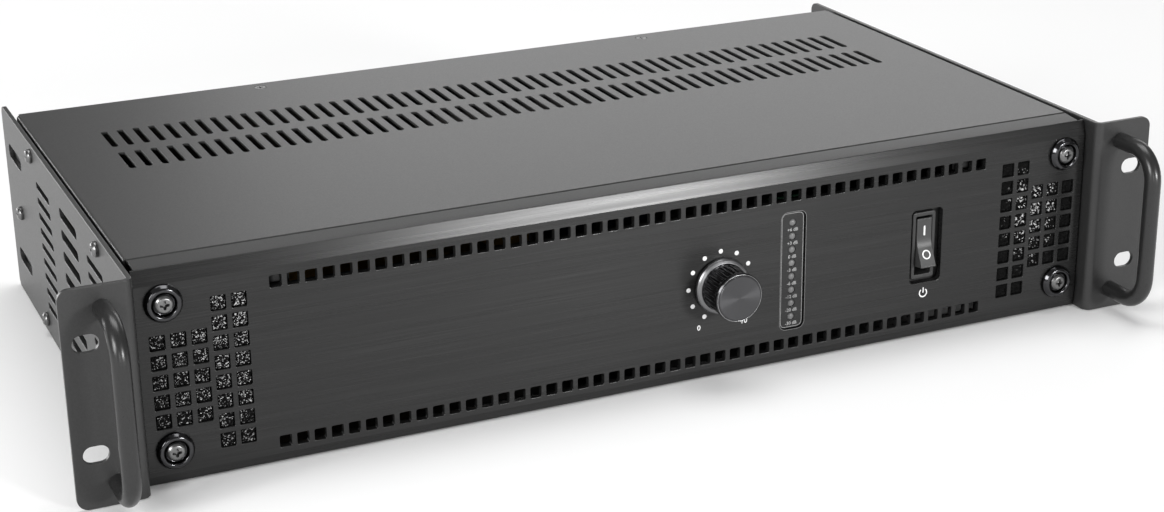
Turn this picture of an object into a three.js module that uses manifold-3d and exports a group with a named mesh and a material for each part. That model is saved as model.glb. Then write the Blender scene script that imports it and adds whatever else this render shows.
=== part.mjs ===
// A two-unit 19 inch rack power amplifier, in millimetres.
// The drawing frame has X across the unit, Y = 0 on the front faces of the rack ears and growing
// towards the rear, and Z = 0 under the case. The last lines move it so that the origin is under the
// middle of the whole unit. Neighbouring sheets keep a small gap, FIT.
import * as THREE from "three";
import { mergeVertices } from "three/addons/utils/BufferGeometryUtils.js";
import Module from "manifold-3d";

const wasm = await Module();
wasm.setup();

// Rack standard
const RACK_WIDTH = 482.6;
const UNIT_HEIGHT = 88;
const RACK_SLOTS_X = 465;
const RACK_SLOTS_Z = 44.45;
const MID_Z = UNIT_HEIGHT / 2;

// Case sheets
const FIT = 0.3;
const PLATE_T = 2;
const EAR_CORNER_R = 4.5;
const PLATE_CORNER_R = 4;
const BODY_HALF = 215.2;
const PLATE_INNER = BODY_HALF - PLATE_T;
const PLATE_REAR = 250;
const BEND_R = 3.5;
const SHEET_T = 1.5;
const TRAY_HALF = PLATE_INNER - FIT;
const TRAY_WALL_LOW = 12;
const TRAY_WALL_HIGH = 78.2;
const TRAY_WALL_STEP_Y = 200;
const TRAY_REAR = 246;
const REAR_FACE = 230.7;
const COVER_HALF = 212;
const COVER_T = 1.2;
const COVER_FRONT = 10.5;
const COVER_BEND_Y = 20.5;
const COVER_DROP = 0.9;
const COVER_REAR = 231;
const COVER_LIP_Z = 78.5;
const PANEL_FRONT = REAR_FACE - SHEET_T;
const REAR_SKIN = REAR_FACE + FIT;
const FLANGE_FRONT = 217;
const TRAY_FRONT = 13.6;
const SCREW_HOLE_R = 1.8;
const COUNTERSINK_R = 3.1;
const COVER_SCREWS = [
  { x: -99.5, y: 224 },
  { x: 99.5, y: 224 },
];
const TOP_SIDE_SCREWS = [
  { y: 183, z: 82.5 },
  { y: 53, z: 82.5 },
];
const REAR_SIDE_SCREW = { y: 222, z: 44 };
const BOTTOM_SIDE_SCREWS = [
  { y: 181, z: 7 },
  { y: 53, z: 7 },
];
const SIDE_SCREWS = [...TOP_SIDE_SCREWS, REAR_SIDE_SCREW, ...BOTTOM_SIDE_SCREWS];

// Ranges that reach through the sheets at the front, the rear, one side and both sides
const FRONT_CUT = [0, 20];
const REAR_CUT = [225, 240];
const SIDE_CUT = [210, 220];
const ACROSS = [-220, 220];

// Vents
const VENT_W = 3;
const VENT_PITCH = 7;
const COVER_VENT_COUNT = 53;
const COVER_VENT_LENGTH = 24;
const COVER_VENT_ROWS_Y = [141.5, 174.3];
const SIDE_VENTS = [
  { y: 162.2, z: 43.6, length: 27.5, width: VENT_W, count: 9, pitch: VENT_PITCH },
  { y: 109.5, z: 46, length: 33, width: 4.4, count: 7, pitch: 9.6 },
  { y: 61, z: 43.6, length: 28, width: VENT_W, count: 9, pitch: VENT_PITCH },
];
const SUPPORT_SLOTS = { y: 225.3, heights: [19.4, 69.6], length: 28.5, width: 6.4 };
const RACK_SLOT = { length: 10, width: 7 };
const EXHAUST = { x: -82, z: 34, length: 30, count: 12 };

// Front panel
const FASCIA_HALF = 212.3;
const FASCIA_FRONT = 7.8;
const FASCIA_BACK = 10.8;
const FASCIA_BOTTOM = 0.4;
const FASCIA_TOP = 87.6;
const SUBPANEL_FRONT = 12;
const SUBPANEL_BACK = 13.2;
const ROW_SQUARE = 4.8;
const ROW_COUNT = 46;
const ROW_PITCH = 7.03;
const ROW_HEIGHTS = [75.3, 8.9];
const GRILLE_SQUARE = 6;
const GRILLE_PITCH = 8.04;
const GRILLE_MID_Z = 42.2;
const GRILLE_INNER_X = 172.65;
const FASCIA_SCREW_X = 201.5;
const FASCIA_SCREW_Z = 30;
const FASCIA_SCREW_HOLE_R = 2.6;
const TOP_BEVEL = { height: 6.3, depth: 1.9 };
const BOTTOM_BEVEL = { height: 3.7, depth: 1.1 };
const COVER_REBATE = 3.2;
const REBATE_FIT = 0.35;

// Controls
const KNOB = { x: 31.4, z: 41.2, height: 17.3, radius: 10.5, skirt: 12.2, bore: 3.3, panelHoleR: 4.2 };
const LEDS = { x: 65.8, z: 41.6, width: 11.8, height: 52.8, count: 8, pitch: 6.04, top: 62.9, radius: 1.5 };
const OVERLAY_DEPTH = 0.9;
const SWITCH_OPENING = { x: 131.9, width: 15.6, height: 33.6, radius: 2 };
const SWITCH = { x: 131.3, z: 42.1, width: 11.6, height: 30.7, front: 9.1 };
const ROCKER = { x: SWITCH.x, y: 12.3, z: 42.7, swing: 13 };

// Handles
const HANDLE_X = 225.3;
const HANDLE_AXIS_Y = -24.4;
const HANDLE_ROD_R = 3.6;
const HANDLE_HALF_SPAN = 35;
const HANDLE_BEND_R = 13;

// Rear panel pieces, by the middle of each
const INLET = { x: -160, z: 42 };
const XLR = { x: 165, z: 44, radius: 9.6 };
const JACK = { x: 128, z: 44 };
const GROUND_SWITCH = { x: 98, z: 44, travel: 3 };
const TERMINALS = { x: 10, z: 44, count: 5, pitch: 11, halfHeight: 11, hingeY: 246.8 };
const FAN = { x: 180, z: MID_Z, half: 30, front: 17.4, depth: 25, bore: 28 };

// Inside
const TOROID = { x: -95, y: 118, z: 4, outer: 58, inner: 17, height: 52 };
const OUTPUT_IRON = { x: 10, y: 178, z: 4, width: 84, depth: 32, height: 70, limb: 14, windowX: 21 };
const HEAT_SINK = { x0: 84, x1: 136, y0: 60, y1: 200, base: 6, top: 58, fins: 7, finPitch: 8 };
const BOARD = { x0: -30, x1: 78, y0: 48, y1: 138, z: 9, thickness: 1.6 };
const CAPACITOR = { radius: 15, height: 48, pitch: 36 };

const Z_UP = new THREE.Vector3(0, 0, 1);
const X_AXIS = new THREE.Vector3(1, 0, 0);
const Y_AXIS = new THREE.Vector3(0, 1, 0);

// ---- Shapes and solids ----

function rectangle(x, y, width, height) {
  const halfW = width / 2;
  const halfH = height / 2;
  const corners = [[-halfW, -halfH], [halfW, -halfH], [halfW, halfH], [-halfW, halfH]];
  return new THREE.Shape(corners.map(([u, v]) => new THREE.Vector2(x + u, y + v)));
}

function polygon(points) {
  return new THREE.Shape(points.map(([u, v]) => new THREE.Vector2(u, v)));
}

function circle(x, y, radius) {
  return new THREE.Shape().absarc(x, y, radius, 0, 2 * Math.PI);
}

function roundedRectangle(x, y, width, height, radius) {
  const u = width / 2 - radius;
  const v = height / 2 - radius;
  const quarter = Math.PI / 2;
  const shape = new THREE.Shape();
  shape.absarc(x + u, y + v, radius, 0, quarter);
  shape.absarc(x - u, y + v, radius, quarter, 2 * quarter);
  shape.absarc(x - u, y - v, radius, 2 * quarter, 3 * quarter);
  shape.absarc(x + u, y - v, radius, 3 * quarter, 4 * quarter);
  shape.closePath();
  return shape;
}

// A slot with round ends. Its length lies along the shape's first axis, or along the second when upright.
function slot(x, y, length, width, upright = false) {
  const reach = (length - width) / 2;
  const turn = upright ? Math.PI / 2 : 0;
  const quarter = Math.PI / 2;
  const dx = reach * Math.cos(turn);
  const dy = reach * Math.sin(turn);
  const shape = new THREE.Shape();
  shape.absarc(x + dx, y + dy, width / 2, turn - quarter, turn + quarter);
  shape.absarc(x - dx, y - dy, width / 2, turn + quarter, turn + 3 * quarter);
  shape.closePath();
  return shape;
}

// The number of segments is for each arc of an outline: a whole circle, one end of a slot or one corner.
function extrude(shapes, depth, segments) {
  const curveSegments = segments / 2;
  return new THREE.ExtrudeGeometry(shapes, { depth, bevelEnabled: false, curveSegments });
}

// Shapes drawn in (X, Y) and extruded upwards.
function prismZ(shapes, z0, z1, segments = 3) {
  return extrude(shapes, z1 - z0, segments).translate(0, 0, z0);
}

// Shapes drawn in (X, Z) and extruded from front to rear.
function prismY(shapes, y0, y1, segments = 3) {
  return extrude(shapes, y1 - y0, segments).rotateX(Math.PI / 2).translate(0, y1, 0);
}

// Shapes drawn in (Y, Z) and extruded from left to right.
function prismX(shapes, x0, x1, segments = 3) {
  const turn = new THREE.Matrix4().makeBasis(Y_AXIS, Z_UP, X_AXIS);
  return extrude(shapes, x1 - x0, segments).applyMatrix4(turn).translate(x0, 0, 0);
}

function block(x0, x1, y0, y1, z0, z1) {
  const size = new THREE.BoxGeometry(x1 - x0, y1 - y0, z1 - z0);
  return size.translate((x0 + x1) / 2, (y0 + y1) / 2, (z0 + z1) / 2);
}

// A turned piece about local +Y. The outline holds [radius, height] pairs and closes on itself.
function turned(outline, segments) {
  const points = outline.map(([radius, height]) => new THREE.Vector2(radius, height));
  const onAxis = outline[0][0] === 0;
  if (THREE.ShapeUtils.area(points) < 0) points.reverse();
  if (!onAxis) points.push(points[0].clone());
  return new THREE.LatheGeometry(points, segments);
}

function turnedFacingFront(outline, segments, x, y, z) {
  return turned(outline, segments).rotateZ(Math.PI).translate(x, y, z);
}

function turnedUpright(outline, segments, x, y, z) {
  return turned(outline, segments).rotateX(Math.PI / 2).translate(x, y, z);
}

function solidOf(geometry) {
  const plain = geometry.clone();
  plain.deleteAttribute("normal");
  plain.deleteAttribute("uv");
  const merged = mergeVertices(plain, 1e-4);
  const mesh = new wasm.Mesh({
    numProp: 3,
    vertProperties: merged.attributes.position.array,
    triVerts: new Uint32Array(merged.index.array),
  });
  return new wasm.Manifold(mesh);
}

function geometryOf(solid) {
  const mesh = solid.getMesh();
  const geometry = new THREE.BufferGeometry();
  geometry.setAttribute("position", new THREE.BufferAttribute(mesh.vertProperties, 3));
  geometry.setIndex(new THREE.BufferAttribute(mesh.triVerts, 1));
  geometry.computeVertexNormals();
  return geometry;
}

function shape3d(additions, cuts = []) {
  let solid = solidOf(additions[0]);
  additions.slice(1).forEach((piece) => {
    solid = solid.add(solidOf(piece));
  });
  cuts.forEach((piece) => {
    solid = solid.subtract(solidOf(piece));
  });
  return geometryOf(solid);
}

function evenly(count, pitch, middle) {
  return Array.from({ length: count }, (_, i) => middle + (i - (count - 1) / 2) * pitch);
}

// ---- Materials ----

const finish = (color, roughness, metalness) =>
  new THREE.MeshStandardMaterial({ color, roughness, metalness });
const PAINT = finish(0x1f1f20, 0.45, 0.3);
const FASCIA_BLACK = finish(0x2a2a2b, 0.35, 0.8);
const ZINC = finish(0xb4b4b0, 0.3, 1);
const BLACK_CHROME = finish(0x0c0c0d, 0.1, 1);
const BLACK_PLASTIC = finish(0x161616, 0.5, 0);
const KNOB_METAL = finish(0x3a3a3b, 0.3, 0.9);
const FOAM = finish(0x151515, 0.95, 0);
const STEEL = finish(0x9a9a98, 0.4, 0.9);
const CIRCUIT_BOARD = finish(0x1c4a2c, 0.6, 0);
const LENS = finish(0x4a4a48, 0.3, 0);
const TAPE = finish(0xb88a2c, 0.5, 0);
const SLEEVE = finish(0x20304a, 0.4, 0);

const unit = new THREE.Group();

function addPart(name, geometry, material, mirroredX = false) {
  const mesh = new THREE.Mesh(geometry, material);
  mesh.name = name;
  mesh.scale.x = mirroredX ? -1 : 1;
  unit.add(mesh);
}

// ---- Case ----

function sideScrewHoles(screws, [x0, x1]) {
  const holes = screws.map(({ y, z }) => circle(y, z, SCREW_HOLE_R));
  return prismX(holes, x0, x1, 6);
}

// One bent sheet: the long side of the case, folded outwards at the front into the rack ear.
function sidePlateGeometry() {
  const quarter = Math.PI / 2;
  const earEnd = RACK_WIDTH / 2;
  const bendX = PLATE_INNER + BEND_R;
  const fold = new THREE.Shape();
  fold.moveTo(PLATE_INNER, PLATE_REAR);
  fold.lineTo(PLATE_INNER, BEND_R);
  fold.absarc(bendX, BEND_R, BEND_R, 2 * quarter, 3 * quarter);
  fold.lineTo(earEnd, 0);
  fold.lineTo(earEnd, PLATE_T);
  fold.lineTo(bendX, PLATE_T);
  fold.absarc(bendX, BEND_R, BEND_R - PLATE_T, 3 * quarter, 2 * quarter, true);
  fold.lineTo(BODY_HALF, PLATE_REAR);
  const sheet = prismZ([fold], 0, UNIT_HEIGHT, 4);

  const span = 600;
  const earCorners = roundedRectangle(earEnd - span / 2, MID_Z, span, UNIT_HEIGHT, EAR_CORNER_R);
  const rearCorners = roundedRectangle(PLATE_REAR - span / 2, MID_Z, span, UNIT_HEIGHT, PLATE_CORNER_R);
  const rackSlots = [-1, 1].map((s) =>
    slot(RACK_SLOTS_X / 2, MID_Z + (s * RACK_SLOTS_Z) / 2, RACK_SLOT.length, RACK_SLOT.width),
  );
  const vents = SIDE_VENTS.flatMap(({ y, z, length, width, count, pitch }) =>
    evenly(count, pitch, z).map((ventZ) => slot(y, ventZ, length, width)),
  );
  const supports = SUPPORT_SLOTS.heights.map((z) =>
    slot(SUPPORT_SLOTS.y, z, SUPPORT_SLOTS.length, SUPPORT_SLOTS.width),
  );

  const solid = solidOf(sheet)
    .intersect(solidOf(prismY([earCorners], -5, 260, 3)))
    .intersect(solidOf(prismX([rearCorners], 200, 260, 3)))
    .subtract(solidOf(prismY(rackSlots, -5, 8, 5)))
    .subtract(solidOf(prismX([...vents, ...supports], ...SIDE_CUT, 3)))
    .subtract(solidOf(sideScrewHoles(SIDE_SCREWS, SIDE_CUT)));
  return geometryOf(solid);
}

function chassisTrayGeometry() {
  const floor = block(-TRAY_HALF, TRAY_HALF, TRAY_FRONT, REAR_FACE, 0, SHEET_T);
  const wall = polygon([
    [TRAY_FRONT, 0],
    [TRAY_REAR, 0],
    [TRAY_REAR, TRAY_WALL_HIGH],
    [TRAY_WALL_STEP_Y, TRAY_WALL_HIGH],
    [TRAY_WALL_STEP_Y, TRAY_WALL_LOW],
    [TRAY_FRONT, TRAY_WALL_LOW],
  ]);
  const rightWall = prismX([wall], TRAY_HALF - SHEET_T, TRAY_HALF);
  const leftWall = prismX([wall], -TRAY_HALF, SHEET_T - TRAY_HALF);
  const holes = sideScrewHoles([REAR_SIDE_SCREW, ...BOTTOM_SIDE_SCREWS], ACROSS);
  return shape3d([floor, rightWall, leftWall], [holes]);
}

function coverGeometry() {
  const top = UNIT_HEIGHT;
  const sheet = polygon([
    [COVER_FRONT, top - COVER_DROP - COVER_T],
    [COVER_BEND_Y, top - COVER_T],
    [COVER_REAR, top - COVER_T],
    [COVER_REAR, top],
    [COVER_BEND_Y, top],
    [COVER_FRONT, top - COVER_DROP],
  ]);
  const lips = [COVER_HALF - COVER_T, -COVER_HALF].map((x) =>
    block(x, x + COVER_T, COVER_BEND_Y + 1.5, PANEL_FRONT - FIT, COVER_LIP_Z, top - COVER_T / 2),
  );
  const vents = COVER_VENT_ROWS_Y.flatMap((y) =>
    evenly(COVER_VENT_COUNT, VENT_PITCH, 0).map((x) => slot(x, y, COVER_VENT_LENGTH, VENT_W, true)),
  );
  const screwHoles = COVER_SCREWS.map(({ x, y }) => circle(x, y, COUNTERSINK_R));
  return shape3d(
    [prismX([sheet], -COVER_HALF, COVER_HALF), ...lips],
    [
      prismZ(vents, top - 5, top + 5, 2),
      prismZ(screwHoles, top - 5, top + 5, 12),
      sideScrewHoles(TOP_SIDE_SCREWS, ACROSS),
    ],
  );
}

function rearPanelGeometry() {
  const half = TRAY_HALF - SHEET_T - FIT;
  const floorZ = SHEET_T + FIT;
  const topZ = UNIT_HEIGHT - COVER_T - FIT;
  const panel = block(-half, half, PANEL_FRONT, REAR_FACE, floorZ, topZ);
  const topFlange = block(3 - half, half - 3, FLANGE_FRONT, REAR_FACE - 0.1, topZ - SHEET_T, topZ);
  const sideFlanges = [-half, half - SHEET_T].map((x) =>
    block(x, x + SHEET_T, FLANGE_FRONT, REAR_FACE - 0.1, floorZ, COVER_LIP_Z - FIT),
  );
  const exhaust = evenly(EXHAUST.count, VENT_PITCH, EXHAUST.x).map((x) =>
    slot(x, EXHAUST.z, EXHAUST.length, VENT_W, true),
  );
  const openings = [
    rectangle(INLET.x, INLET.z, 28.4, 32.4),
    circle(XLR.x, XLR.z, 11.9),
    circle(JACK.x, JACK.z, 5.6),
    rectangle(GROUND_SWITCH.x, GROUND_SWITCH.z, 9, 5),
    rectangle(TERMINALS.x, TERMINALS.z, 50, 9),
  ];
  const screwHoles = COVER_SCREWS.map(({ x, y }) => circle(x, y, SCREW_HOLE_R));
  return shape3d(
    [panel, topFlange, ...sideFlanges],
    [
      prismY(openings, ...REAR_CUT, 16),
      prismY(exhaust, ...REAR_CUT, 2),
      prismZ(screwHoles, topZ - 5, topZ + 5, 6),
      sideScrewHoles([REAR_SIDE_SCREW], ACROSS),
    ],
  );
}

// ---- Front panel ----

// Square grilles at both ends: two tall columns inboard and three short ones outboard of them.
function grilleCentres(side) {
  const centres = [];
  for (let column = 0; column < 5; column += 1) {
    const rows = column < 2 ? 8 : 5;
    const x = side * (GRILLE_INNER_X + column * GRILLE_PITCH);
    evenly(rows, GRILLE_PITCH, GRILLE_MID_Z).forEach((z) => centres.push([x, z]));
  }
  return centres;
}

// The stepped outline behind one grille, clear of the screws at the panel's corners.
function grilleWindow(side, margin) {
  const half = GRILLE_SQUARE / 2 + margin;
  const inner = GRILLE_INNER_X - half;
  const step = GRILLE_INNER_X + 1.5 * GRILLE_PITCH + margin - 1.2;
  const outer = GRILLE_INNER_X + 4 * GRILLE_PITCH + half;
  const tall = 3.5 * GRILLE_PITCH + half;
  const low = 2 * GRILLE_PITCH + half;
  const points = [
    [inner, -tall],
    [step, -tall],
    [step, -low],
    [outer, -low],
    [outer, low],
    [step, low],
    [step, tall],
    [inner, tall],
  ];
  return polygon(points.map(([x, z]) => [side * x, GRILLE_MID_Z + z]));
}

function fasciaScrewPlaces() {
  const xs = [-FASCIA_SCREW_X, FASCIA_SCREW_X];
  return xs.flatMap((x) => [1, -1].map((s) => ({ x, z: MID_Z + s * FASCIA_SCREW_Z })));
}

function fasciaGeometry() {
  const section = polygon([
    [FASCIA_FRONT, FASCIA_BOTTOM + BOTTOM_BEVEL.height],
    [FASCIA_FRONT + BOTTOM_BEVEL.depth, FASCIA_BOTTOM],
    [FASCIA_BACK, FASCIA_BOTTOM],
    [FASCIA_BACK, FASCIA_TOP - COVER_REBATE],
    [COVER_FRONT - REBATE_FIT, FASCIA_TOP - COVER_REBATE],
    [COVER_FRONT - REBATE_FIT, FASCIA_TOP],
    [FASCIA_FRONT + TOP_BEVEL.depth, FASCIA_TOP],
    [FASCIA_FRONT, FASCIA_TOP - TOP_BEVEL.height],
  ]);
  const rows = ROW_HEIGHTS.flatMap((z) =>
    evenly(ROW_COUNT, ROW_PITCH, 0).map((x) => rectangle(x, z, ROW_SQUARE, ROW_SQUARE)),
  );
  const grilles = [-1, 1].flatMap((side) =>
    grilleCentres(side).map(([x, z]) => rectangle(x, z, GRILLE_SQUARE, GRILLE_SQUARE)),
  );
  const windows = [
    roundedRectangle(LEDS.x, LEDS.z, LEDS.width, LEDS.height, 3),
    roundedRectangle(
      SWITCH_OPENING.x,
      SWITCH.z,
      SWITCH_OPENING.width,
      SWITCH_OPENING.height,
      SWITCH_OPENING.radius,
    ),
  ];
  const holes = fasciaScrewPlaces().map(({ x, z }) => circle(x, z, FASCIA_SCREW_HOLE_R));
  const bores = [...holes, circle(KNOB.x, KNOB.z, KNOB.panelHoleR)];
  return shape3d(
    [prismX([section], -FASCIA_HALF, FASCIA_HALF)],
    [prismY([...rows, ...grilles, ...windows], ...FRONT_CUT), prismY(bores, ...FRONT_CUT, 10)],
  );
}

function subpanelGeometry() {
  const sheet = block(-211, 211, SUBPANEL_FRONT, SUBPANEL_BACK, SHEET_T + FIT, 85.6);
  const bosses = fasciaScrewPlaces().map(({ x, z }) => circle(x, z, 4.5));
  const bores = fasciaScrewPlaces().map(({ x, z }) => circle(x, z, FASCIA_SCREW_HOLE_R));
  const rowLength = ROW_COUNT * ROW_PITCH;
  const openings = [
    ...ROW_HEIGHTS.map((z) => rectangle(0, z, rowLength, ROW_SQUARE + 1)),
    grilleWindow(-1, 1),
    grilleWindow(1, 1),
    rectangle(LEDS.x, LEDS.z, 8.6, LEDS.height - 1.6),
    rectangle(SWITCH.x, SWITCH.z, SWITCH.width + 0.4, SWITCH.height - 1.6),
    circle(KNOB.x, KNOB.z, KNOB.panelHoleR),
  ];
  return shape3d(
    [sheet, prismY(bosses, SUBPANEL_BACK - 0.1, 17, 10)],
    [prismY([...openings, ...bores], ...FRONT_CUT, 10)],
  );
}

function filterGeometry(side) {
  return prismY([grilleWindow(side, 0.6)], FASCIA_BACK + FIT, FAN.front - FIT);
}

// A cupped washer that hides the rim of its screw head.
function fasciaWasherGeometry({ x, z }) {
  const outline = [
    [2.6, 0.3],
    [7.4, 0.3],
    [7.4, 0.9],
    [6.7, 2.2],
    [5.7, 2.8],
    [4.8, 2.5],
    [4.3, 1.3],
    [2.6, 1.3],
  ];
  return turnedFacingFront(outline, 16, x, FASCIA_FRONT, z);
}

function fasciaScrewGeometry({ x, z }) {
  const outline = [
    [0, -8.5],
    [2.2, -8.5],
    [2.2, 1.6],
    [3.7, 1.6],
    [3.7, 2.4],
    [2.9, 3.2],
    [0, 3.5],
  ];
  const screw = turnedFacingFront(outline, 12, x, FASCIA_FRONT, z);
  const crossY = [FASCIA_FRONT - 5, FASCIA_FRONT - 2.1];
  const cross = [
    block(x - 2.1, x + 2.1, ...crossY, z - 0.5, z + 0.5),
    block(x - 0.5, x + 0.5, ...crossY, z - 2.1, z + 2.1),
  ];
  return shape3d([screw], cross);
}

// Handle axis: out from the ear, round, down, round and back, by distance along it.
class HandleCurve extends THREE.Curve {
  getPoint(t, target = new THREE.Vector3()) {
    const leg = -HANDLE_AXIS_Y - HANDLE_BEND_R - FIT;
    const arc = (Math.PI / 2) * HANDLE_BEND_R;
    const straight = 2 * (HANDLE_HALF_SPAN - HANDLE_BEND_R);
    const half = leg + arc + straight / 2;
    const fromMiddle = Math.abs(t * 2 * half - half);
    const side = t < 0.5 ? 1 : -1;
    let y = HANDLE_AXIS_Y;
    let z = fromMiddle;
    if (fromMiddle > straight / 2 + arc) {
      y = -FIT - (half - fromMiddle);
      z = HANDLE_HALF_SPAN;
    } else if (fromMiddle > straight / 2) {
      const angle = (fromMiddle - straight / 2) / HANDLE_BEND_R;
      y = HANDLE_AXIS_Y + HANDLE_BEND_R * (1 - Math.cos(angle));
      z = straight / 2 + HANDLE_BEND_R * Math.sin(angle);
    }
    return target.set(HANDLE_X, y, MID_Z + side * z);
  }
}

function handleGeometry() {
  const section = circle(0, 0, HANDLE_ROD_R);
  const settings = { steps: 24, curveSegments: 5, extrudePath: new HandleCurve() };
  return new THREE.ExtrudeGeometry(section, settings);
}

// ---- Fasteners at the sides and on the cover ----

// [radius, distance out of the sheet] of a pan head screw
const PAN_HEAD = [
  [0, -4.7],
  [1.4, -4.7],
  [1.4, 0.3],
  [3.2, 0.3],
  [3.2, 1.4],
  [2.4, 2.3],
  [0, 2.5],
];

function sideScrewGeometry({ y, z }) {
  return turned(PAN_HEAD, 8).rotateZ(-Math.PI / 2).translate(BODY_HALF, y, z);
}

// Countersunk, with its flat head level with the cover.
function coverScrewGeometry({ x, y }) {
  const outline = [
    [0, -6],
    [1.4, -6],
    [1.4, -COVER_T],
    [2.75, -0.3],
    [2.75, -0.05],
    [0, -0.05],
  ];
  return turnedUpright(outline, 12, x, y, UNIT_HEIGHT);
}

// ---- Volume control ----

function volumeKnobGeometry() {
  const { height, radius, skirt, bore } = KNOB;
  const outline = [
    [0, height],
    [radius - 0.9, height],
    [radius, height - 0.9],
    [radius, height - 2.1],
    [radius - 0.4, height - 2.4],
    [radius - 0.4, 3.6],
    [skirt, 3],
    [skirt, 0.9],
    [skirt - 0.4, 0.5],
    [8, 0.5],
    [8, 4.5],
    [bore, 4.5],
    [bore, height - 3.5],
    [0, height - 3.5],
  ];
  const body = turnedFacingFront(outline, 24, KNOB.x, FASCIA_FRONT, KNOB.z);
  const face = FASCIA_FRONT - height;
  const pointer = block(KNOB.x - 0.5, KNOB.x + 0.5, face - 1, face + 0.4, KNOB.z + 3, KNOB.z + 8.6);
  return shape3d([body], [pointer]);
}

function potentiometerGeometry() {
  const outline = [
    [3.3, 4],
    [3.85, 4],
    [3.85, -SUBPANEL_BACK + FASCIA_FRONT - FIT],
    [8.5, -SUBPANEL_BACK + FASCIA_FRONT - FIT],
    [8.5, -15],
    [0, -15],
    [0, -13.5],
    [3.3, -13.5],
  ];
  return turnedFacingFront([...outline].reverse(), 16, KNOB.x, FASCIA_FRONT, KNOB.z);
}

function potentiometerShaftGeometry() {
  const outline = [
    [0, -13],
    [3, -13],
    [3, KNOB.height - 4],
    [0, KNOB.height - 4],
  ];
  return turnedFacingFront(outline, 12, KNOB.x, FASCIA_FRONT, KNOB.z);
}

// ---- Power switch ----

function switchHousingGeometry() {
  const { x, z, width, height, front } = SWITCH;
  const bezel = prismY([roundedRectangle(x, z, width, height, 1.2)], front, SUBPANEL_FRONT - FIT);
  const body = block(x - 5.2, x + 5.2, front + 0.5, 34, z - 14, z + 14);
  const tabs = [-9, 0, 9].map((dz) => block(x - 0.4, x + 0.4, 33.5, 42, z + dz - 2.4, z + dz + 2.4));
  const cavity = block(x - 4, x + 4, front - 1, 24, z - 13.3, z + 13.3);
  const pinHole = prismX([circle(ROCKER.y, ROCKER.z, 1.3)], x - 4.8, x + 4.8, 8);
  return shape3d([bezel, body, ...tabs], [cavity, pinHole]);
}

// The rocker is drawn level, then tipped to its "on" position, which is how it rests.
function rockerGeometry() {
  const { x, y, z, swing } = ROCKER;
  const rise = SWITCH.front - y;
  const outline = polygon([
    [rise - 2.9, -11],
    [4.4, -10],
    [7, -3],
    [7, 3],
    [4.4, 10],
    [rise - 2.9, 11],
    [rise - 1.4, 5],
    [rise - 0.5, 0],
    [rise - 1.4, -5],
  ]);
  const body = prismX([outline], -3.7, 3.7);
  const pin = prismX([circle(0, 0, 1.1)], -4.6, 4.6, 8);
  const rocker = shape3d([body, pin]);
  return rocker.rotateX(THREE.MathUtils.degToRad(-swing)).translate(x, y, z);
}

// ---- Level display ----

function ledHeights() {
  return Array.from({ length: LEDS.count }, (_, i) => LEDS.top - i * LEDS.pitch);
}

// A flange behind the panel, with a face that nearly fills the panel's window.
function ledOverlayGeometry() {
  const { x, z, width, height, radius } = LEDS;
  const front = FASCIA_FRONT + OVERLAY_DEPTH;
  const back = FASCIA_BACK + FIT;
  const flange = prismY([rectangle(x, z, width + 3, height + 3)], back, SUBPANEL_FRONT - FIT);
  const face = prismY([roundedRectangle(x, z, width - 2 * FIT, height - 2 * FIT, 2.7)], front, back + 0.1);
  const holes = ledHeights().map((holeZ) => circle(x, holeZ, radius + 0.2));
  return shape3d([flange, face], [prismY(holes, ...FRONT_CUT, 8)]);
}

function ledLensGeometry() {
  const back = SUBPANEL_BACK + FIT;
  const front = FASCIA_FRONT + OVERLAY_DEPTH - 0.2;
  const strip = block(LEDS.x - 4, LEDS.x + 4, back, back + 1.5, LEDS.z - 25, LEDS.z + 25);
  const lenses = ledHeights().map((z) => circle(LEDS.x, z, LEDS.radius));
  return shape3d([strip, prismY(lenses, front, back + 0.1, 8)]);
}

function ledBoardGeometry() {
  const front = SUBPANEL_BACK + FIT + 1.5 + FIT;
  const board = block(LEDS.x - 8, LEDS.x + 8, front, front + 1.6, 12, 72);
  const connector = block(LEDS.x - 5, LEDS.x + 5, front + 1.5, front + 9, 16, 22);
  return shape3d([board, connector]);
}

// ---- Fans ----

function fanFrameGeometry(side) {
  const { z, half, front, depth, bore } = FAN;
  const x = side * FAN.x;
  const rear = front + depth;
  const frame = prismY([rectangle(x, z, 2 * half, 2 * half)], front, rear);
  const screwHoles = [-25, 25].flatMap((dx) => [-25, 25].map((dz) => circle(x + dx, z + dz, 2.2)));
  const hub = prismY([circle(x, z, 12)], rear - 3, rear, 12);
  const arms = [
    block(x - bore - 1, x + bore + 1, rear - 2.5, rear, z - 1.5, z + 1.5),
    block(x - 1.5, x + 1.5, rear - 2.5, rear, z - bore - 1, z + bore + 1),
  ];
  const opened = shape3d([frame], [prismY([circle(x, z, bore)], front - 1, rear + 1, 24)]);
  return shape3d([opened, hub, ...arms], [prismY(screwHoles, front - 1, rear + 1, 6)]);
}

function impellerGeometry(side) {
  const { z, front, bore } = FAN;
  const hub = prismY([circle(0, 0, 11.5)], front + 2, front + 20, 14);
  const blades = evenly(7, (2 * Math.PI) / 7, 0).map((angle) =>
    new THREE.BoxGeometry(bore - 12, 1.3, 17)
      .translate((bore + 9) / 2, 0, 0)
      .rotateX(THREE.MathUtils.degToRad(35 - 90))
      .rotateY(angle)
      .translate(0, front + 11, 0),
  );
  return shape3d([hub, ...blades]).translate(side * FAN.x, 0, z);
}

// ---- Power supply and amplifier ----

function toroidGeometry() {
  const { x, y, z, outer, inner, height } = TOROID;
  const outline = [
    [inner, 6],
    [inner + 6, 0],
    [outer - 8, 0],
    [outer, 8],
    [outer, height - 8],
    [outer - 8, height],
    [inner + 6, height],
    [inner, height - 6],
  ];
  return turnedUpright(outline, 24, x, y, z);
}

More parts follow.
